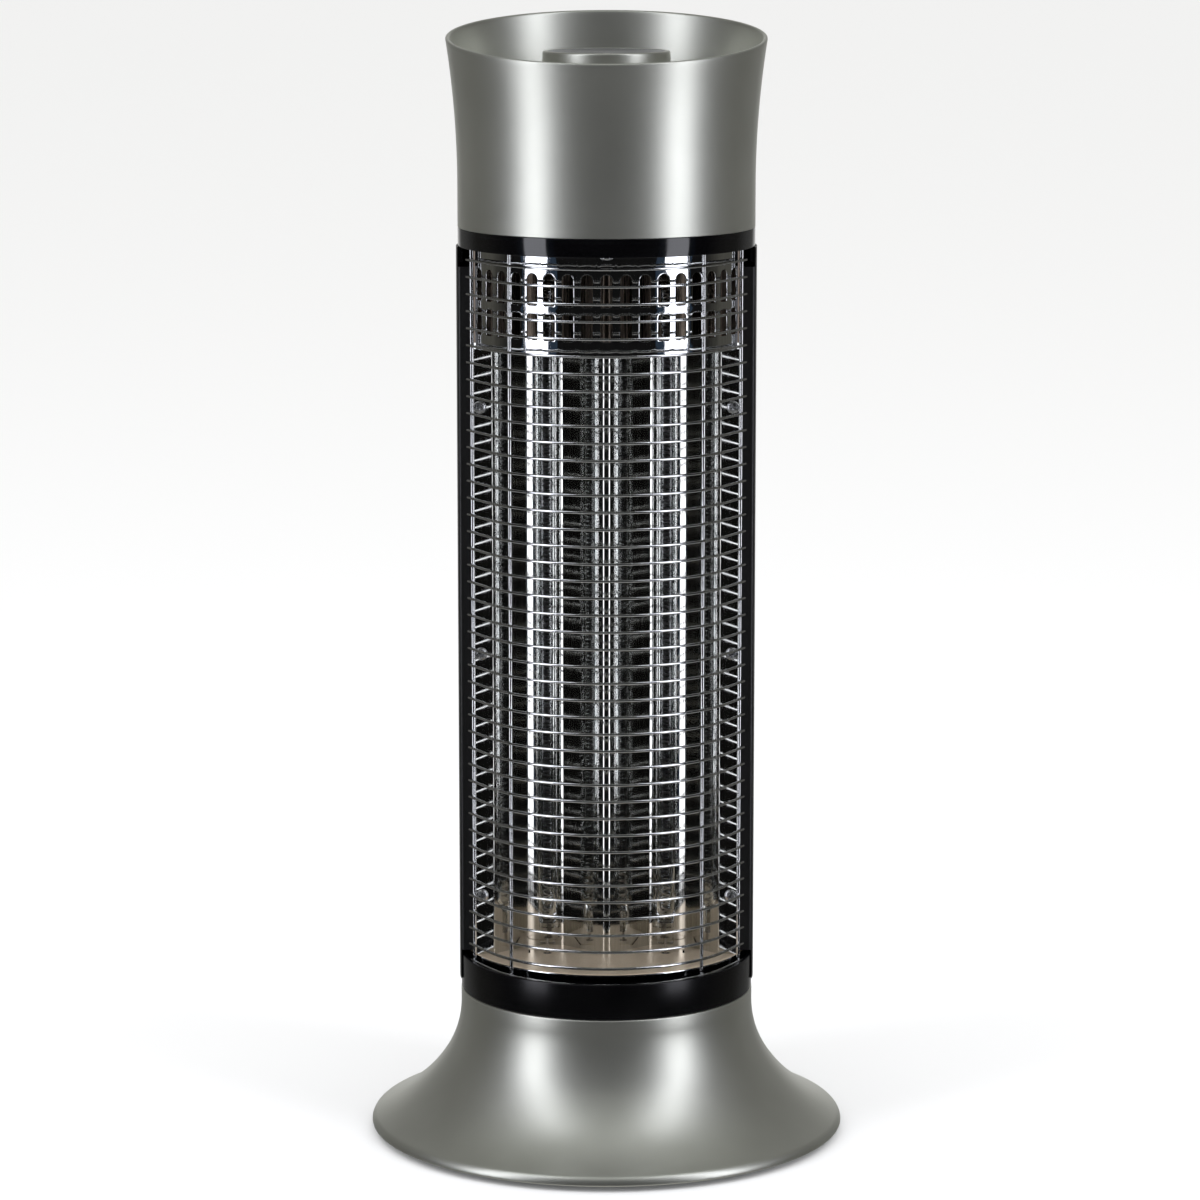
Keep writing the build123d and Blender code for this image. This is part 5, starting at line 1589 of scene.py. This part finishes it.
copies = add(
    wound,
    "GeometryNodeInstanceOnPoints",
    {"Points": given["Geometry"], "Instance": coil.outputs["Mesh"]},
)
close_tree(wound, given, copies.outputs["Instances"])
print("tree:", wound.name)

# %% [markdown]
# In each tube the tow fills the space between two springs. The springs keep it straight when it
# grows with heat, and nickel pins carry the current through the pinches.

# %% Carbon tow, springs and leads
spring_h = 18.0
tow_low = bore_low + spring_h
tow_high = bore_high - spring_h
tow_pitch = 2.3
tow_outer = 2.35
tow_w = 1.5
tow_t = 0.5
for side, word in ((-1, "left"), (1, "right")):
    tow = grown(
        "carbon_tow_" + word,
        wound,
        ([(side * lamp_x, lamp_y, tow_low)], [], []),
        crease=60,
        turns=(tow_high - tow_low) / tow_pitch,
        steps=20,
        coil_radius=(tow_outer - tow_t / 2) * MM,
        length=(tow_high - tow_low) * MM,
        section=(tow_t / 2 * MM, tow_w / 2 * MM, 1.0),
        sides=6,
        finish=carbon_tow,
    )
    settled(tow, "tower", "carbon", "element_" + word)

spring_turns = 4.5
spring_wire_r = 0.42
spring_outer = 2.75
springs = grown(
    "lamp_springs",
    wound,
    ([(s * lamp_x, lamp_y, z) for s in (-1, 1) for z in (bore_low, tow_high)], [], []),
    turns=spring_turns,
    steps=28,
    coil_radius=(spring_outer - spring_wire_r) * MM,
    length=spring_h * MM,
    section=(spring_wire_r * MM, spring_wire_r * MM, 1.0),
    sides=10,
    finish=nickel,
)
settled(springs, "tower", "lead_wire", "element_springs")

pin_low, pin_high = span("lead_pins")
pin_r = 0.75
pin_depth = 2.5
pin_ends = ((pin_low.z, lamp_low + pin_depth), (lamp_high - pin_depth, pin_high.z))
pin_rods = [
    rod(x, lamp_y, pin_r, low, high, 16) for x in (-lamp_x, lamp_x) for low, high in pin_ends
]
pins = made("lamp_leads", together(*pin_rods), nickel)
settled(pins, "tower", "lead_wire", "lead_pins")

# %% [markdown]
# ## Head
#
# The head is the base's shape the other way up, but its rim is cut by a plane that falls towards
# the front. A cut made with a boolean would leave a ragged rounding, so the section is worked out
# anew at every angle: the wall runs up to where it meets the sloped plane there, and the rounding
# follows. The bowl's floor, the room under it and three screw posts are in the same moulding.

# %% Head
head_straight = band_top + 22.0
flare_r = 496.0
head_wall = 2.4
rim_mid = band_top + 99.3
rim_slope = tan(radians(7.1))
rim_edge = 1.0
bowl_floor = band_top + 62.0
bowl_floor_t = 2.6
bowl_round = 8.0
bowl_ease = 0.35
bowl_gap = 0.9
bowl_flat_r = 22.0
straight_gap = 6.0
shaft_hole_r = 5.05
room_corner = 1.5
flare_x = ring_r + flare_r


def flare_at(height, depth):
    """Radius of the flare at a height, at a depth under its surface."""
    return flare_x - sqrt((flare_r + depth) ** 2 - (height - head_straight) ** 2)


def flare_run(low, high, depth, count):
    """Points up the flare, evenly spaced from one height to just short of another."""
    heights = [low + (high - low) * k / count for k in range(count)]
    return [(flare_at(height, depth), height) for height in heights]


def rim_corner(turn, depth):
    """Where the flare meets the rim's plane at an angle."""
    height = rim_mid
    for step in range(8):
        height = rim_mid + rim_slope * flare_at(height, depth) * sin(turn)
    return Vector((flare_at(height, depth), height))


def rounded(corner, before, after, radius, steps=4):
    """A corner between two unit directions, rounded."""
    return [
        corner
        + before * radius * (1 - sin(pi / 2 * k / steps))
        + after * radius * (1 - cos(pi / 2 * k / steps))
        for k in range(steps + 1)
    ]


def head_section(turn):
    """The head's section at an angle: up the outside, over the rim, down into the bowl and back."""
    outer, inner = rim_corner(turn, 0.0), rim_corner(turn, head_wall)
    across = (inner - outer).normalized()
    down = (Vector((flare_at(outer.y - 1, 0.0), outer.y - 1)) - outer).normalized()
    rim = rounded(outer, down, across, rim_edge)
    down = (Vector((flare_at(inner.y - 1, head_wall), inner.y - 1)) - inner).normalized()
    rim += rounded(inner, down, -across, rim_edge)[::-1]
    side = [(ring_r, band_top + edge * 0.5), (ring_r, head_straight - straight_gap)]
    side += flare_run(head_straight, rim[0].y, 0.0, 28)
    fillet_x = flare_at(bowl_floor + bowl_round, head_wall) - bowl_round + bowl_ease
    bowl = flare_run(bowl_floor + bowl_round + bowl_gap, rim[-1].y, head_wall, 24)[::-1]
    bowl += arc(fillet_x, bowl_floor + bowl_round, bowl_round, 0, -90, 10)
    room_top = bowl_floor - bowl_floor_t
    room_r = ring_r - head_wall
    bowl += [(bowl_flat_r, bowl_floor), (shaft_hole_r, bowl_floor), (shaft_hole_r, room_top)]
    under = [(room_r - room_corner, room_top), (room_r, room_top - room_corner)]
    under += [(room_r, band_top), (ring_r - edge * 0.5, band_top)]
    return side + [tuple(point) for point in rim] + bowl + under


silver_head = made("silver_head", turned(head_section, 256), silver_paint)
head_post_r = 5.0
head_post_h = 36.0
head_post_in = 7.1
for x, y in arc(0, 0, ring_r - head_post_in, -90, 150, 2):
    carved(silver_head, rod(x, y, head_post_r, deck_high, deck_high + head_post_h, 28), "UNION")
settled(silver_head, "tower", "satin_silver", "head_shell")

# %% [markdown]
# ## Knob
#
# The knob is a shallow cup with slightly drafted sides. A darker disc lies in a recess in its top,
# and a half-round tab of the rim reaches into the disc at the front as the pointer.

# %% Knob and its disc
knob_low, knob_high = span("knob")
knob_r = 33.6
knob_foot_r = 34.1
recess_r = 31.0
recess_z = knob_high.z - 1.35
pointer_r = 1.9
cup_r = 31.1
cup_top = knob_high.z - 3.5
knob_boss_r = 6.5
knob_boss_z = knob_low.z + 6.0
shaft_bore_r = 3.05
shaft_top = knob_high.z - 4.95
easing = 0.35
knob_section = (
    [(knob_foot_r - 0.3, knob_low.z), (knob_foot_r, knob_low.z + 0.3)]
    + arc(knob_r - 1.2, knob_high.z - 1.2, 1.2, 1, 90, 6)
    + arc(recess_r + easing, knob_high.z - easing, easing, 90, 180, 3)
    + [(recess_r, recess_z), (0.0, recess_z), (0.0, shaft_top), (shaft_bore_r, shaft_top)]
    + [(shaft_bore_r, knob_boss_z), (knob_boss_r, knob_boss_z)]
    + [(knob_boss_r, cup_top), (cup_r, cup_top), (cup_r, knob_low.z)]
)
silver_knob = made("silver_knob", turned(lambda turn: knob_section, 160), silver_paint)
tab = [(x, y) for x, y in arc(0, -recess_r, pointer_r, 180, 0, 20)]
tab += [(pointer_r, -recess_r - 0.8), (-pointer_r, -recess_r - 0.8)]
carved(silver_knob, pulled(tab, recess_z - 0.4, knob_high.z), "UNION")
settled(silver_knob, "knob", "satin_silver", "knob")

cap_low, cap_high = span("knob_cap")
cap_gap = 0.15
cap_r = recess_r - cap_gap
notch = pointer_r + cap_gap
notch_turn = degrees(2 * asin(notch / 2 / recess_r))
cap_outline = arc(0, 0, cap_r, -90 + notch_turn, 270 - notch_turn, 140)
notch_from = degrees(atan2(cap_outline[-1][1] + recess_r, cap_outline[-1][0]))
notch_to = degrees(atan2(cap_outline[0][1] + recess_r, cap_outline[0][0]))
cap_outline += arc(0, -recess_r, notch, notch_from, notch_to, 18)[1:-1]
silver_cap = made("silver_cap", pulled(cap_outline, cap_low.z, cap_high.z), cap_paint)
change = silver_cap.modifiers.new("eased", "BEVEL")
change.width = cap_gap * MM
change.segments = 2
change.angle_limit = radians(50)
applied(silver_cap)
settled(silver_cap, "knob", "cap_grey", "knob_cap")

# %% [markdown]
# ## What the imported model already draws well
#
# The gland, the feet, the plunger and the lamps' bushes are simple solids. Copies of their packed
# meshes are merged and shaded smooth, so their round faces look round. Everything else inside
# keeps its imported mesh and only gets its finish, by the material slot in the record.

# %% Finishes for the rest
finish_of = {
    "satin_silver": silver_paint,
    "cap_grey": cap_paint,
    "gloss_black": black_abs,
    "black_steel": powder_coat,
    "chrome_wire": chrome,
    "bright_sheet": panel_sheet,
    "steel_screw": zinc,
    "plate_steel": zinc_plate,
    "foot_rubber": foot_rubber,
    "quartz": quartz,
    "carbon": carbon_tow,
    "lead_wire": nickel,
    "motor_can": motor_plating,
    "acetal": white_acetal,
    "dark_plastic": black_nylon,
    "bush_ceramic": steatite,
    "switch_plastic": cream_nylon,
    "sleeve": glass_sleeve,
    "spring_steel": spring_wire,
}
slot_of = {row["node"]: row["material_slot"] for row in frame["record"]["subparts"]}
bodies = frame["record"]["behaviour"]["bodies"]
body_of = {node: body for body, nodes in bodies.items() for node in nodes}
for node, slot in slot_of.items():
    for place in bpy.data.objects[node].material_slots:
        place.material = finish_of[slot]
for node in ("cord_gland", "rubber_feet", "tilt_plunger", "lamp_bushes"):
    mesh = bpy.data.objects[node].data.copy()
    mesh.name = node + "_smooth"
    whole = bmesh.new()
    whole.from_mesh(mesh)
    bmesh.ops.remove_doubles(whole, verts=whole.verts, dist=0.002 * MM)
    whole.to_mesh(mesh)
    whole.free()
    smoothed(mesh)
    settled(linked(node + "_smooth", mesh), body_of[node], slot_of[node], node)
print("finishes set on", len(slot_of), "nodes")

# %% [markdown]
# ## Floor and light
#
# The studio is plain: a pale floor and two tall softboxes, one on each side of the camera, each
# with a wider, dim and bluish edge behind it. Chrome and mirror sheet show what stands round them,
# so the dark parts of the studio matter as much as the lamps: everything between the softboxes is
# dim and a little warm. Reflections and the quartz don't show the floor, but the dark room.

# %% Floor
floor_mesh = bpy.data.meshes.new("studio_floor")
far = 40
floor_corners = [(-far, -far, 0), (far, -far, 0), (far, far, 0), (-far, far, 0)]
floor_mesh.from_pydata(floor_corners, [], [(0, 1, 2, 3)])
floor_paper, tree, shader = surface("floor_paper", "#F8F8F7")
shader.inputs["Roughness"].default_value = 0.9
floor_mesh.materials.append(floor_paper)
studio_floor = linked("studio_floor", floor_mesh)
studio_floor.visible_glossy = False
studio_floor.visible_transmission = False
print("floor:", 2 * far, "m across")

# %% [markdown]
# The camera sees a white room, but reflections see another: nearly black in front, dim and warm
# behind the heater, and paler overhead, underfoot and straight behind. Each row adds one region by
# the direction of the ray, and fades it in between two values of the ray's Y or Z.

# %% World
world = bpy.data.worlds.new("studio")
bpy.context.scene.world = world
world.use_nodes = True
tree = world.node_tree
tree.nodes.clear()
ray = add(tree, "ShaderNodeLightPath")
way = add(tree, "ShaderNodeTexCoord").outputs["Generated"]
toward = add(tree, "ShaderNodeSeparateXYZ", {"Vector": way}).outputs
room = (0.006, 0.006, 0.006, 1.0)
for axis, (dark_at, full_at), colour in (
    ("Y", (-0.2, 0.3), (0.072, 0.070, 0.060, 1.0)),
    ("Z", (0.65, 1.0), (0.30, 0.31, 0.29, 1.0)),
    ("Z", (-0.35, -0.95), (0.45, 0.45, 0.44, 1.0)),
    ("Y", (0.45, 0.75), (0.16, 0.16, 0.155, 1.0)),
    ("Y", (0.88, 0.99), (0.80, 0.80, 0.79, 1.0)),
):
    share = add(
        tree,
        "ShaderNodeMapRange",
        {"Value": toward[axis], "From Min": dark_at, "From Max": full_at, "To Max": 1.0},
        interpolation_type="SMOOTHSTEP",
    ).outputs["Result"]
    room = add(tree, "ShaderNodeMix", {0: share, 6: room, 7: colour}, data_type="RGBA").outputs[2]
reflected = add(tree, "ShaderNodeBackground", {"Color": room})
seen = add(tree, "ShaderNodeBackground", {"Color": (1.0, 1.0, 1.0, 1.0)})
bounced = add(
    tree,
    "ShaderNodeMath",
    {0: ray.outputs["Is Glossy Ray"], 1: ray.outputs["Is Transmission Ray"]},
    operation="MAXIMUM",
).outputs["Value"]
both = add(
    tree,
    "ShaderNodeMixShader",
    {0: bounced, 1: seen.outputs[0], 2: reflected.outputs[0]},
)
add(tree, "ShaderNodeOutputWorld", {"Surface": both.outputs[0]})
print("world:", len(tree.nodes), "nodes")

# %% [markdown]
# Each softbox is an area light that reaches from below the floor's level to far above the heater,
# so that its reflection runs the whole length of every upright surface.


# %% Softboxes
def softbox(name, turn, away, wide, low, high, radiance, colour):
    """A tall area light that faces the tower from an angle round it, in metres."""
    lamp = bpy.data.lights.new(name, "AREA")
    lamp.shape = "RECTANGLE"
    lamp.size = wide
    lamp.size_y = high - low
    lamp.energy = radiance * pi * wide * (high - low)
    lamp.color = colour
    box = linked(name, lamp)
    box.visible_camera = False
    place = Vector((away * sin(radians(turn)), -away * cos(radians(turn)), (low + high) / 2))
    box.location = place
    box.rotation_euler = Vector((-place.x, -place.y, 0)).to_track_quat("-Z", "Y").to_euler()


box_turn = 55.5
box_low, box_high = -0.25, 4.7
for turn in (-box_turn, box_turn):
    softbox("softbox", turn, 1.6, 0.52, box_low, box_high, 3.15, (0.99, 1.0, 1.08))
    softbox("softbox_rim", turn, 1.65, 0.9, box_low, box_high, 0.05, (0.35, 0.6, 1.0))
bpy.context.scene.view_settings.view_transform = "Standard"
print("two softboxes at", box_turn, "degrees")
